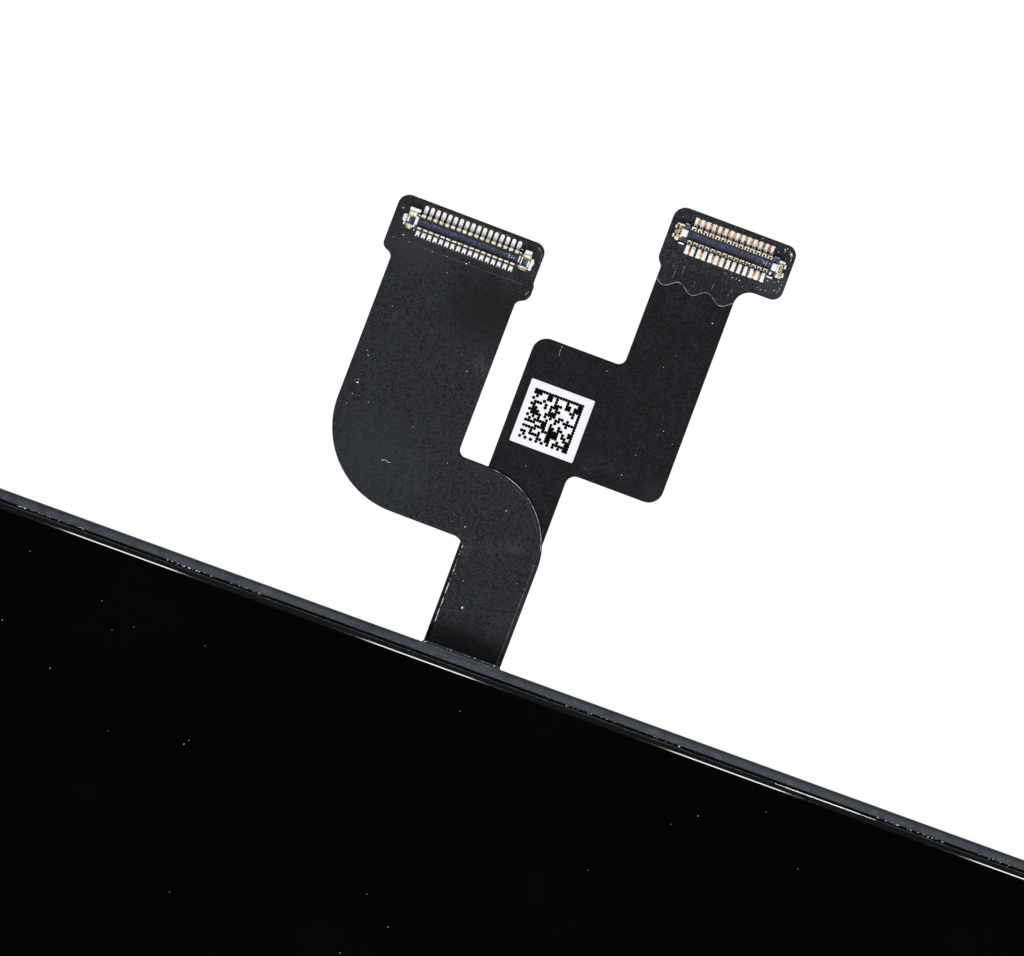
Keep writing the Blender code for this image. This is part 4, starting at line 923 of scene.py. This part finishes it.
def make_display_plug():
    """Left plug: 17 pairs of contacts, and a windowed metal cap on each end of its housing."""
    grooved_housing("display_plug_housing", DISPLAY_PLUG, 0.015, 3.65, 0.435, 0.20, "display_connector")
    # Painted shade: dark navy strips on the groove's floor along its walls, and on the tops of both walls
    # between the contacts.
    small_parts("display_groove_foot", NAVY_PAINTED_SHADE, DISPLAY_PLUG, [
        (-3.00, 3.00, -0.25, -0.17, 0.10, 0.132, 0.02), (-3.00, 3.00, -0.425, -0.215, 0.38, 0.424, 0.02),
        (-3.00, 3.00, 0.225, 0.455, 0.38, 0.424, 0.02), (-3.00, 3.00, 0.185, 0.232, 0.10, 0.132, 0.02),
    ])
    small_parts("display_plug_openings", ADHESIVE, DISPLAY_PLUG, [
        (-3.03, 3.02, -0.90, 1.06, -0.05, -0.014, 0.05), (-4.00, -2.95, -0.60, 0.76, -0.05, -0.016, 0.20),
        (2.95, 4.00, -0.52, 0.76, -0.05, -0.016, 0.20),
    ])
    small_parts("display_land_oxide", OXIDE, DISPLAY_PLUG, [
        (-2.96, 2.42, 1.02, 1.11, -0.05, -0.006, 0.04), (-2.28, -1.90, -0.86, -0.73, -0.05, -0.008, 0.04),
        (-0.86, -0.36, -0.86, -0.73, -0.05, -0.008, 0.04), (0.34, 0.78, -0.86, -0.73, -0.05, -0.008, 0.04),
    ])
    small_parts("display_contact_tails", TIN, DISPLAY_PLUG, [
        (-0.112, 0.112, 0.515, 1.035, -0.02, 0.05, 0.09), (-0.045, 0.045, 0.44, 0.58, -0.02, 0.04, 0.02),
        (-0.115, 0.115, -0.70, -0.455, -0.02, 0.05, 0.03),
        (-0.115, -0.035, -0.785, -0.68, -0.02, 0.04, 0.02),
        (0.045, 0.115, -0.785, -0.68, -0.02, 0.04, 0.02),
    ], contacts=17)
    small_parts("display_contact_crowns", GOLD, DISPLAY_PLUG, [
        (-0.125, 0.125, 0.335, 0.495, 0.28, 0.45, 0.04), (-0.135, 0.135, -0.385, -0.262, 0.28, 0.45, 0.03),
    ], contacts=17)
    small_parts("display_contact_bends", BRASS, DISPLAY_PLUG, [
        (-0.112, 0.112, 0.285, 0.35, 0.18, 0.432, 0.02),
    ], contacts=17)
    small_parts("display_cap_left", GOLD, DISPLAY_PLUG, [
        (-3.66, -3.18, 0.24, 0.48, 0.28, 0.45, 0.05), (-3.62, -3.22, -0.44, -0.27, 0.28, 0.45, 0.05),
    ], stands_for=["display_hold_down_left"])
    small_parts("display_cap_right", GOLD, DISPLAY_PLUG, [
        (3.22, 3.68, 0.28, 0.49, 0.28, 0.45, 0.05), (3.14, 3.68, -0.37, -0.25, 0.28, 0.45, 0.04),
    ], stands_for=["display_hold_down_right"])
    small_parts("display_cap_shoulders", BRASS, DISPLAY_PLUG, [
        (-3.64, -3.20, 0.15, 0.26, 0.18, 0.43, 0.03), (-3.58, -3.24, -0.54, -0.42, 0.00, 0.40, 0.04),
        (3.22, 3.66, 0.18, 0.30, 0.18, 0.43, 0.03), (3.20, 3.66, -0.46, -0.36, 0.00, 0.40, 0.04),
    ])
    small_parts("display_cap_tabs", TIN, DISPLAY_PLUG, [
        (-3.68, -3.05, 0.49, 0.69, 0.00, 0.38, 0.05), (-3.90, -3.58, -0.20, 0.21, 0.00, 0.16, 0.09),
        (-3.79, -3.67, -0.40, -0.10, 0.00, 0.14, 0.04), (-3.62, -3.52, -0.18, 0.16, 0.10, 0.44, 0.04),
        (-3.20, -3.03, -0.20, 0.29, 0.10, 0.44, 0.05), (-3.20, -3.11, -0.39, -0.12, 0.10, 0.44, 0.03),
        (-3.15, -2.93, 0.345, 0.395, 0.20, 0.44, 0.02), (-3.12, -3.03, -0.55, -0.46, 0.00, 0.05, 0.03),
        (3.25, 3.66, 0.49, 0.70, 0.00, 0.38, 0.04), (3.70, 3.89, -0.36, 0.34, 0.00, 0.20, 0.08),
        (3.86, 3.94, -0.02, 0.20, 0.00, 0.16, 0.03), (3.58, 3.68, -0.22, 0.18, 0.10, 0.44, 0.03),
        (3.19, 3.25, -0.20, 0.25, 0.10, 0.44, 0.02), (3.03, 3.11, -0.12, 0.25, 0.10, 0.44, 0.02),
        (2.99, 3.11, 0.58, 0.66, 0.00, 0.05, 0.03), (2.97, 3.10, 0.38, 0.45, 0.20, 0.44, 0.03),
    ])
    small_parts("display_housing_marks", LINT_AND_GLINT, DISPLAY_PLUG, [
        (2.43, 2.50, -0.11, 0.15, 0.05, 0.135, 0.03), (2.60, 2.68, -0.06, 0.04, 0.05, 0.135, 0.03),
        (2.72, 2.81, -0.05, 0.05, 0.05, 0.135, 0.03),
    ])


def make_touch_plug():
    """Right plug: 14 pairs of contacts on copper lands, with plated brackets and square tabs."""
    grooved_housing("touch_plug_housing", TOUCH_PLUG, 0.005, 3.125, 0.47, 0.22, "touch_connector")
    # Painted shade: dark navy strips on the groove's floor along its walls, and on the top of its lower wall.
    small_parts("touch_groove_foot", NAVY_PAINTED_SHADE, TOUCH_PLUG, [
        (-2.45, 2.45, -0.265, -0.19, 0.10, 0.132, 0.02), (-2.45, 2.45, -0.46, -0.24, 0.38, 0.424, 0.02),
        (-2.45, 2.45, 0.195, 0.27, 0.10, 0.132, 0.02),
    ])
    small_parts("touch_plug_openings", ADHESIVE, TOUCH_PLUG, [
        (-2.44, 2.44, -1.19, 1.10, -0.05, -0.014, 0.05), (-3.42, -2.40, -0.66, 0.62, -0.05, -0.016, 0.12),
        (2.40, 3.42, -0.74, 0.60, -0.05, -0.016, 0.12),
    ])
    first = TOUCH_PLUG[-1]
    lands = [(first + PITCH * gap, first + PITCH * (gap + 1), -1.045, -0.62, -0.05, -0.006, 0.02)
             for gap in range(13)]
    end = first + PITCH * 13
    small_parts("touch_copper_lands", COPPER, TOUCH_PLUG, [lands[gap] for gap in COPPER_GAPS]
                + [(first, end, 0.66, 1.035, -0.05, -0.006, 0.02)])
    small_parts("touch_land_oxide", OXIDE, TOUCH_PLUG,
                [land for gap, land in enumerate(lands) if gap not in COPPER_GAPS]
                + [(first, end, 0.585, 0.70, -0.05, -0.008, 0.02)])
    small_parts("touch_contact_tails", TIN, TOUCH_PLUG, [
        (-0.11, 0.075, 0.62, 1.055, -0.02, 0.05, 0.03), (-0.128, 0.11, 1.01, 1.07, -0.02, 0.04, 0.02),
        (-0.105, -0.04, 0.52, 0.64, -0.02, 0.04, 0.02), (0.035, 0.105, 0.52, 0.64, -0.02, 0.04, 0.02),
        (-0.105, 0.105, -1.07, -0.53, -0.02, 0.05, 0.04), (-0.128, 0.128, -1.08, -1.01, -0.02, 0.04, 0.02),
    ], contacts=14)
    small_parts("touch_contact_crowns", GOLD, TOUCH_PLUG, [
        (-0.14, 0.14, 0.42, 0.505, 0.28, 0.45, 0.02), (-0.14, -0.055, 0.285, 0.435, 0.28, 0.44, 0.02),
        (0.055, 0.14, 0.285, 0.435, 0.28, 0.44, 0.02), (-0.138, 0.138, -0.372, -0.288, 0.28, 0.45, 0.02),
        (-0.132, -0.07, -0.475, -0.36, 0.28, 0.44, 0.02), (0.07, 0.132, -0.475, -0.36, 0.28, 0.44, 0.02),
    ], contacts=14)
    small_parts("touch_contact_slots", OXIDE, TOUCH_PLUG, [
        (-0.058, 0.058, 0.295, 0.425, 0.28, 0.428, 0.02), (-0.072, 0.072, -0.49, -0.365, 0.28, 0.428, 0.02),
    ], contacts=14)
    small_parts("touch_bracket_left", BRASS, TOUCH_PLUG, [
        (-3.10, -2.90, -0.34, 0.37, 0.28, 0.44, 0.04), (-3.23, -3.10, -0.16, 0.09, 0.28, 0.43, 0.03),
    ], stands_for=["touch_hold_down_left"])
    small_parts("touch_bracket_right", BRASS, TOUCH_PLUG, [
        (2.97, 3.20, -0.40, 0.32, 0.28, 0.44, 0.04),
    ], stands_for=["touch_hold_down_right"])
    small_parts("touch_bracket_crowns", GOLD, TOUCH_PLUG, [
        (-3.25, -2.81, 0.35, 0.455, 0.28, 0.45, 0.04), (-3.15, -2.90, -0.52, -0.30, 0.28, 0.45, 0.05),
        (2.89, 3.25, 0.30, 0.44, 0.28, 0.45, 0.04), (2.90, 3.25, -0.56, -0.38, 0.28, 0.45, 0.05),
    ])
    small_parts("touch_bracket_stains", OXIDE, TOUCH_PLUG, [
        (-2.98, -2.91, -0.20, 0.08, 0.40, 0.45, 0.02), (-3.18, -3.11, 0.26, 0.34, 0.38, 0.44, 0.02),
        (-3.11, -2.91, -0.63, -0.52, 0.00, 0.40, 0.03), (3.15, 3.22, 0.08, 0.23, 0.40, 0.45, 0.02),
        (2.88, 2.97, -0.39, -0.29, 0.38, 0.445, 0.02), (2.99, 3.04, -0.10, 0.10, 0.40, 0.446, 0.02),
    ])
    small_parts("touch_bracket_tabs", TIN, TOUCH_PLUG, [
        (-2.89, -2.51, -0.21, 0.21, 0.12, 0.45, 0.04), (-2.90, -2.79, -0.32, -0.15, 0.12, 0.44, 0.03),
        (-2.81, -2.55, 0.49, 0.58, 0.00, 0.20, 0.03), (-2.85, -2.51, -0.65, -0.54, 0.00, 0.14, 0.04),
        (-3.31, -3.17, 0.12, 0.32, 0.00, 0.16, 0.05), (-3.31, -3.18, -0.40, -0.19, 0.00, 0.16, 0.05),
        (2.57, 2.87, -0.25, 0.17, 0.12, 0.45, 0.04), (2.88, 2.98, -0.31, 0.19, 0.12, 0.45, 0.03),
        (2.55, 2.84, 0.46, 0.55, 0.00, 0.20, 0.03), (2.56, 2.68, -0.52, -0.34, 0.10, 0.43, 0.03),
        (2.47, 2.84, -0.71, -0.61, 0.00, 0.14, 0.03), (3.22, 3.35, 0.05, 0.31, 0.00, 0.16, 0.05),
        (3.22, 3.37, -0.47, -0.18, 0.00, 0.16, 0.05),
    ])
    small_parts("touch_housing_marks", LINT_AND_GLINT, TOUCH_PLUG, [
        (1.90, 1.98, 0.08, 0.15, 0.05, 0.135, 0.02), (1.93, 2.02, -0.20, -0.12, 0.05, 0.135, 0.02),
        (2.04, 2.09, -0.08, 0.08, 0.05, 0.135, 0.02), (2.19, 2.25, -0.14, 0.12, 0.05, 0.135, 0.02),
        (2.36, 2.45, 0.03, 0.10, 0.05, 0.135, 0.02), (2.36, 2.45, -0.18, -0.11, 0.05, 0.135, 0.02),
    ])


# Label print

LABEL_LEFT, LABEL_RIGHT = 0.02 - 3.79 / 2, 0.02 + 3.79 / 2
LABEL_LOW, LABEL_HIGH = 14.20 - 3.74 / 2, 14.20 + 3.74 / 2
CODE_CELLS = 18
CODE_CELL = 0.163
CODE_X = -1.42
CODE_Y = 12.78


def make_label():
    """Die-cut paper label, square but for a hair of rounding at its corners."""
    sheet = plate("label_sheet", LABEL_LEFT, LABEL_RIGHT, LABEL_LOW, LABEL_HIGH, bottom_of("label"))
    one_sheet(sheet, [(x, y, 0.07) for x in (LABEL_LEFT, LABEL_RIGHT) for y in (LABEL_LOW, LABEL_HIGH)],
              LABEL_TOP - bottom_of("label"))
    soften_rim(sheet, LABEL_TOP, 0.012, 1)
    return finished(sheet, PAPER, TOUCH, ["label"], smooth=50.0, even_flats=True)


def make_label_code():
    """Made-up dot matrix: a solid border on two sides, a broken one on two, and random cells. The
    ink of four dots that meet runs together."""
    chance = random.Random(7)
    last = CODE_CELLS - 1
    inked = set()
    for column in range(CODE_CELLS):
        for row in range(CODE_CELLS):
            if row == last or column == last:
                inked.add((column, row))
            elif row == 0 or column == 0:
                inked |= {(column, row)} if (row + column) % 2 == 0 else set()
            elif chance.random() < 0.50:
                inked.add((column, row))
    dots = [(column, row, 0.58 + 0.06 * chance.random()) for column, row in sorted(inked)]
    dots += [(column + 0.5, row + 0.5, 0.34) for column, row in sorted(inked)
             if {(column + 1, row), (column, row + 1), (column + 1, row + 1)} <= inked]
    put_down()
    for order, (column, row, size) in enumerate(dots):
        bpy.ops.mesh.primitive_circle_add(
            vertices=10, radius=CODE_CELL * size, fill_type='NGON',
            location=(CODE_X + column * CODE_CELL, CODE_Y + row * CODE_CELL, LABEL_TOP + 0.001))
        if order == 0:
            print_dots = bpy.context.object
            bpy.ops.object.transform_apply(location=True, rotation=False, scale=False)
            bpy.ops.object.mode_set(mode='EDIT')
    bpy.ops.mesh.select_all(action='SELECT')
    raise_faces(0.003)
    turn_outwards()
    print_dots.name = "label_dot_print"
    return finished(print_dots, INK, TOUCH, smooth=40.0)


# Dust, lint and scratches

DISPLAY_DUST = [
    (-1.04, 2.55, 0.070), (-10.94, 12.48, 0.062), (-2.44, 6.89, 0.042), (-7.46, 20.87, 0.045),
    (-0.58, 8.52, 0.038), (-11.35, 21.19, 0.048), (-11.87, 22.62, 0.042), (-10.88, 14.12, 0.033),
    (-9.49, 20.85, 0.034), (-5.33, 15.18, 0.027), (-10.95, 12.66, 0.026), (-10.99, 11.80, 0.025),
    (-10.90, 20.94, 0.025), (-7.32, 20.98, 0.024), (-7.11, 11.18, 0.024), (-11.03, 14.37, 0.023),
    (-9.98, 11.63, 0.023), (-8.60, 20.88, 0.023), (-10.55, 17.17, 0.023), (-11.10, 12.60, 0.022),
    (-4.62, 9.93, 0.022), (-5.93, 15.98, 0.022), (-11.84, 20.90, 0.021), (-8.29, 20.03, 0.021),
    (-11.12, 11.16, 0.021), (-2.07, 4.21, 0.024), (-1.51, 3.99, 0.022), (1.40, 4.87, 0.021),
    (-10.88, 21.66, 0.040), (-8.12, 8.84, 0.040),
]
TOUCH_HEAD_DUST = [
    (9.20, 27.76, 0.055), (9.31, 27.86, 0.035), (9.60, 27.63, 0.075), (9.66, 27.55, 0.055),
    (9.23, 27.65, 0.030), (8.87, 27.50, 0.032), (9.40, 27.28, 0.030), (8.64, 25.16, 0.038),
    (8.92, 25.21, 0.036), (9.40, 25.38, 0.036), (7.36, 25.24, 0.045), (6.93, 25.26, 0.040),
    (7.16, 25.28, 0.030), (9.25, 25.80, 0.032), (8.44, 25.21, 0.024), (7.63, 24.98, 0.024),
    (6.48, 25.34, 0.028), (9.45, 25.95, 0.045), (8.85, 25.77, 0.036), (3.58, 24.76, 0.024),
    (7.13, 24.55, 0.022), (7.80, 27.92, 0.030), (3.15, 27.55, 0.020), (4.18, 24.92, 0.022),
]
FILM_DUST = [
    (6.75, 22.44, 0.038), (2.07, 17.87, 0.030), (4.86, 12.65, 0.034), (6.24, 15.79, 0.026),
    (6.00, 15.46, 0.026), (5.22, 13.98, 0.022), (6.96, 15.27, 0.020), (5.47, 20.06, 0.019),
    (5.01, 19.17, 0.019), (-0.39, 11.29, 0.020),
]
GLASS_DUST = [
    (1.17, -15.75, 0.031), (-0.87, -18.05, 0.030), (-21.68, -8.55, 0.030), (-13.14, -9.99, 0.030),
    (-25.14, -6.93, 0.029), (15.43, -3.92, 0.025), (-18.03, -4.76, 0.022), (10.65, -8.89, 0.019),
    (21.74, -4.80, 0.019), (0.83, -2.94, 0.019), (14.16, -4.86, 0.018), (18.95, -2.40, 0.018),
    (-0.57, -14.41, 0.018), (-17.40, -10.76, 0.017), (-12.95, -9.68, 0.017), (-19.13, -5.34, 0.016),
    (-13.91, -4.40, 0.016), (-24.99, -2.74, 0.016), (-20.22, -4.00, 0.015), (-11.03, -18.09, 0.015),
]
# Dust on the rim by the seam; the fleck at (-2.38, 0.05) is a painted glint on the corner of the exit lip.
RIM_DUST_AND_GLINT = [
    (-4.24, -0.79, 0.040), (-4.16, -0.77, 0.034), (-3.00, -0.70, 0.030), (1.30, -0.72, 0.026),
    (2.25, -0.74, 0.030), (-2.38, 0.05, 0.032),
]
# The exit lip's flecks: mostly painted glints on its rail, with a few flecks of dust.
LIP_GLINTS_AND_DUST = [
    (-2.28, 0.11, 0.020), (-1.70, 0.11, 0.016), (-1.02, 0.11, 0.020), (-0.82, 0.11, 0.030),
    (0.05, 0.11, 0.018), (0.24, 0.11, 0.024), (0.60, 0.12, 0.034), (1.08, 0.11, 0.024),
    (1.40, 0.11, 0.016), (1.77, 0.11, 0.038), (-0.80, 0.00, 0.024), (-1.55, 0.00, 0.018),
]

# Stretches of the seam between rim and glass where dust gathers, with the number of its flecks
SEAM_DUST = [(-27.0, -22.6, 34), (-17.6, -11.4, 46), (5.0, 13.4, 22), (24.6, 28.9, 28), (31.0, 33.0, 14)]

# Pale streaks on the touch circuit's neck, each (x, low, high)
NECK_STREAKS = [(4.18, 24.45, 24.86), (3.76, 24.10, 24.52), (7.16, 24.40, 24.75), (6.05, 24.20, 24.66),
          (5.02, 24.00, 24.30), (3.57, 24.68, 24.86), (3.72, 24.55, 24.70), (6.62, 24.30, 24.52),
          (7.02, 24.15, 24.34)]


def speck_group(name, places, z, seed):
    """Irregular pale flecks that lie on a surface, each (x, y, radius): dust, and on the exit lip mostly
    painted glints.
    """
    put_down()
    for order, (x, y, radius) in enumerate(places):
        bpy.ops.mesh.primitive_ico_sphere_add(subdivisions=1, radius=radius, location=(x, y, z))
        if order == 0:
            group = bpy.context.object
            bpy.ops.object.transform_apply(location=True, rotation=False, scale=False)
            bpy.ops.object.mode_set(mode='EDIT')
    bpy.ops.mesh.select_all(action='SELECT')
    bpy.ops.transform.vertex_random(offset=0.008, seed=seed)
    bpy.ops.transform.resize(value=(1.0, 1.0, 0.4), center_override=(0.0, 0.0, z))
    group.name = name
    return finished(group, LINT_AND_GLINT, SQUARE, smooth=60.0)


def hair(name, points, radius, z, finish=LINT_AND_GLINT):
    """Short curved fibre, scratch, pale streak or painted glint and sheen through a few places."""
    put_down()
    bpy.ops.curve.primitive_bezier_curve_add(location=(0.0, 0.0, 0.0))
    fibre = bpy.context.object
    fibre.name = name
    spline = fibre.data.splines[0]
    spline.bezier_points.add(len(points) - 2)
    for knot, (x, y) in zip(spline.bezier_points, points):
        knot.co = (x, y, z)
        knot.handle_left_type = 'AUTO'
        knot.handle_right_type = 'AUTO'
    fibre.data.resolution_u = 6
    return swept(fibre, radius, finish, SQUARE)


def make_dust():
    """Dust, lint, pale streaks, and painted glints and sheens on the circuits, the glass and the rim."""
    chance = random.Random(29)
    seam = [(chance.uniform(low, high), chance.uniform(-0.61, -0.50), chance.uniform(0.016, 0.042))
            for low, high, count in SEAM_DUST for speck in range(count)]
    for name, places, z, seed in (
            ("on_display_circuit", DISPLAY_DUST, DISPLAY_TOP, 3),
            ("on_touch_head", TOUCH_HEAD_DUST, TOUCH_TOP, 5),
            ("on_shield_film", FILM_DUST, FILM_TOP, 8), ("on_glass", GLASS_DUST, 0.0, 11),
            ("on_rim", RIM_DUST_AND_GLINT, FRAME_TOP - 0.03, 17), ("on_exit_lip", LIP_GLINTS_AND_DUST, FRAME_TOP - 0.03, 23),
            ("along_seam", seam, FRAME_TOP - 0.02, 31)):
        speck_group("dust_" + name, places, z, seed)
    hair("lint_on_display_circuit", [(-8.12, 8.84), (-7.95, 8.90), (-7.80, 8.85), (-7.66, 8.86)],
         0.012, DISPLAY_TOP + 0.01)
    # Painted reflection: a white line along the glass's curved edge, in three lengths.
    for order, (low, high, radius) in enumerate([(18.9, 19.5, 0.018), (19.5, 23.9, 0.036),
                                                 (23.9, 24.9, 0.018)]):
        hair("glint_on_glass_edge_%d" % (order + 1),
             [(low, -0.725), ((low + high) / 2, -0.722), (high, -0.718)], radius, -0.12, EDGE_GLINT)
    hair("scratch_on_flag", [(-0.77, 18.38), (-0.79, 18.05), (-0.77, 17.72)], 0.007, FILM_TOP)
    # Painted glint along the display stem's left edge.
    hair("glint_by_stem", [(-2.22, 5.85), (-2.215, 4.4), (-2.225, 2.9), (-2.22, 1.3)], 0.026,
         DISPLAY_TOP - 0.02, STEM_GLINT)
    for order, (x, low, high) in enumerate(NECK_STREAKS):
        hair("scuff_on_neck_%d" % (order + 1), [(x, low), (x + 0.02, (low + high) / 2), (x - 0.01, high)],
             0.021, TOUCH_TOP, PALE_STREAK)
    # Painted sheen along the right edges of both heads.
    for name, z, points in (
            ("touch_head_edge_high", TOUCH_TOP, [(9.48, 27.74), (9.68, 27.41), (9.70, 27.10)]),
            ("touch_head_edge_low", TOUCH_TOP, [(9.69, 26.05), (9.65, 25.57), (9.56, 25.28)]),
            ("display_head_edge_high", DISPLAY_TOP,
             [(-3.92, 23.13), (-3.66, 22.86), (-3.59, 22.40), (-3.58, 21.95)]),
            ("display_head_edge_low", DISPLAY_TOP, [(-3.56, 20.84), (-3.60, 20.60), (-3.72, 20.36)])):
        hair("sheen_on_" + name, points, 0.018, z - 0.004, STEM_GLINT)
    # Press line across the display head, drawn lighter as a painted sheen.
    hair("display_head_press_line", [(-12.05, 20.90), (-8.40, 20.87), (-4.10, 20.84)], 0.012,
         DISPLAY_TOP - 0.014, FOLD_SHEEN)


# Carried-over pieces

CARRIED = {
    FOAM: ["frame_tape", "spacer_tape"],
    MESH: ["earpiece_mesh"],
    CLEAR_FILM: ["optical_adhesive", "prism_sheet"],
    POLARISER: ["front_polariser", "rear_polariser"],
    PANEL_GLASS: ["colour_filter_glass", "transistor_glass"],
    SILICON: ["driver_chip"],
    STEEL: ["backlight_tray", "shield_plate", "display_stiffener", "touch_stiffener"],
    WHITE_FILM: ["diffuser_sheet", "reflector_sheet", "led_strip"],
    ACRYLIC: ["light_guide"],
    GRAPHITE: ["graphite_sheet_%d" % number for number in (1, 2, 3, 4)],
}

for carried_finish, carried_nodes in CARRIED.items():
    for carried_node in carried_nodes:
        carried = frame["nodes"][carried_node].data
        carried.materials.clear()
        carried.materials.append(carried_finish)
make_cover_glass()
make_earpiece_gasket()
make_frame()
make_display_circuit()
make_touch_circuit()
make_shield_film()
make_display_plug()
make_touch_plug()
make_label()
make_label_code()
make_dust()


# Studio: pale floor, dim room with a dark ceiling, soft lamps and the camera

def pale_floor():
    """White floor that keeps a soft shadow and shows white to the camera and in reflections. It is
    clear from below, so that the back of the screen can be looked at."""
    put_down()
    bpy.ops.mesh.primitive_plane_add(size=6.0, location=(0.0, 0.0, (FLOOR_LEVEL - 0.01) * MM))
    floor = bpy.context.object
    floor.name = "studio_floor"
    made, tree, shader = new_finish("white_studio_floor", "E8E8E8", 0.9)
    path = add(tree, "LightPath").outputs
    seen = add(tree, "Math", [(path["Is Camera Ray"], 0), (path["Is Glossy Ray"], 1)], operation='MAXIMUM')
    shown = add(tree, "Math", [(seen.outputs[0], 0), (path["Is Transmission Ray"], 1)], operation='MAXIMUM')
    part = add(tree, "Math", [(shown.outputs[0], 0), (0.92, 1)], operation='MULTIPLY')
    white = add(tree, "Emission", [("FFFFFF", "Color"), (1.06, "Strength")])
    mix = add(tree, "MixShader", [(part.outputs[0], 0), (shader.outputs["BSDF"], 1),
                                  (white.outputs["Emission"], 2)])
    clear = add(tree, "BsdfTransparent")
    under = add(tree, "NewGeometry").outputs["Backfacing"]
    one_sided = add(tree, "MixShader", [(under, 0), (mix.outputs["Shader"], 1), (clear.outputs["BSDF"], 2)])
    tree.links.new(one_sided.outputs["Shader"], tree.nodes["Material Output"].inputs["Surface"])
    floor.data.materials.append(made)


ZENITH_GLOW = 0.02
ROOM_GLOW = 0.20
HORIZON_GLOW = 0.95


def dim_room():
    """Room that is dark overhead and pale towards the horizon, and white to the camera."""
    world = bpy.data.worlds.new("studio_room")
    bpy.context.scene.world = world
    world.use_nodes = True
    tree = world.node_tree
    tree.nodes.clear()
    direction = add(tree, "TexCoord").outputs["Generated"]
    height = add(tree, "SeparateXYZ", [(direction, "Vector")]).outputs["Z"]
    glow = add(tree, "ValToRGB", [(height, "Fac")],
               [(0.0, HORIZON_GLOW), (0.45, ROOM_GLOW), (0.93, ROOM_GLOW), (0.985, ZENITH_GLOW)])
    room = add(tree, "Background", [(glow.outputs["Color"], "Color")])
    white = add(tree, "Background", [("FFFFFF", "Color"), (1.0, "Strength")])
    path = add(tree, "LightPath").outputs
    mix = add(tree, "MixShader", [(path["Is Camera Ray"], 0), (room.outputs["Background"], 1),
                                  (white.outputs["Background"], 2)])
    add(tree, "OutputWorld", [(mix.outputs["Shader"], "Surface")])


def soft_lamp(name, place, aim, width, depth, power):
    """Soft rectangular lamp at a place, turned to a point, all in mm."""
    put_down()
    bpy.ops.object.light_add(type='AREA', location=[value * MM for value in place])
    lamp = bpy.context.object
    lamp.name = name
    lamp.data.shape = 'RECTANGLE'
    lamp.data.size = width * MM
    lamp.data.size_y = depth * MM
    lamp.data.energy = power
    away = lamp.location.copy()
    for axis in range(3):
        away[axis] -= aim[axis] * MM
    lamp.rotation_euler = away.to_track_quat('Z', 'Y').to_euler()


AIM = (EXIT_X, EXIT_Y + 10.0, 0.0)
STRIP_HEIGHT = 300.0
STRIP_LEAN = 18.8
STRIP_DEPTH = 34.0
STRIP_POWER = 0.0035
STRIP_CENTRE = -0.9
STRIPS = [(-23.75, -17.0), (-5.5, 0.95), (12.9, 19.9), (31.1, 42.0)]


def studio_lamps():
    """Three large soft lamps round the part, and the four strips that its glass edge shows."""
    soft_lamp("left_softbox", (-560.0, -200.0, 600.0), AIM, 500.0, 400.0, 1.3)
    soft_lamp("right_softbox", (520.0, -200.0, 600.0), AIM, 500.0, 400.0, 1.3)
    soft_lamp("front_softbox", (-20.0, -400.0, 680.0), AIM, 800.0, 360.0, 4.2)
    reach = math.tan(math.radians(STRIP_LEAN)) * STRIP_HEIGHT
    growth = 1.0 + STRIP_HEIGHT / CAMERA_HEIGHT
    for order, (low, high) in enumerate(STRIPS):
        x = EXIT_X + STRIP_CENTRE + ((low + high) / 2 - STRIP_CENTRE) * growth
        soft_lamp("edge_strip_%d" % (order + 1), (x, EXIT_Y + reach, STRIP_HEIGHT), (x, EXIT_Y, 0.0),
                  (high - low) * growth, STRIP_DEPTH, STRIP_POWER * (high - low))


CAMERA_HEIGHT = 900.0
VIEW_WIDTH = 57.62
VIEW_CENTRE = (-20.898, 44.582)
VIEW_TURN = 19.967
SENSOR_WIDTH = 36.0


def photo_camera():
    """Long lens straight above the place where the circuits leave the screen."""
    put_down()
    bpy.ops.object.camera_add(location=(VIEW_CENTRE[0] * MM, VIEW_CENTRE[1] * MM, CAMERA_HEIGHT * MM),
                              rotation=(0.0, 0.0, math.radians(VIEW_TURN)))
    camera = bpy.context.object
    camera.name = "photo_camera"
    camera.data.sensor_width = SENSOR_WIDTH
    camera.data.lens = SENSOR_WIDTH * CAMERA_HEIGHT / VIEW_WIDTH
    camera.data.dof.use_dof = False
    bpy.context.scene.camera = camera


pale_floor()
dim_room()
studio_lamps()
photo_camera()
put_down()
bpy.context.scene.view_settings.view_transform = 'Standard'
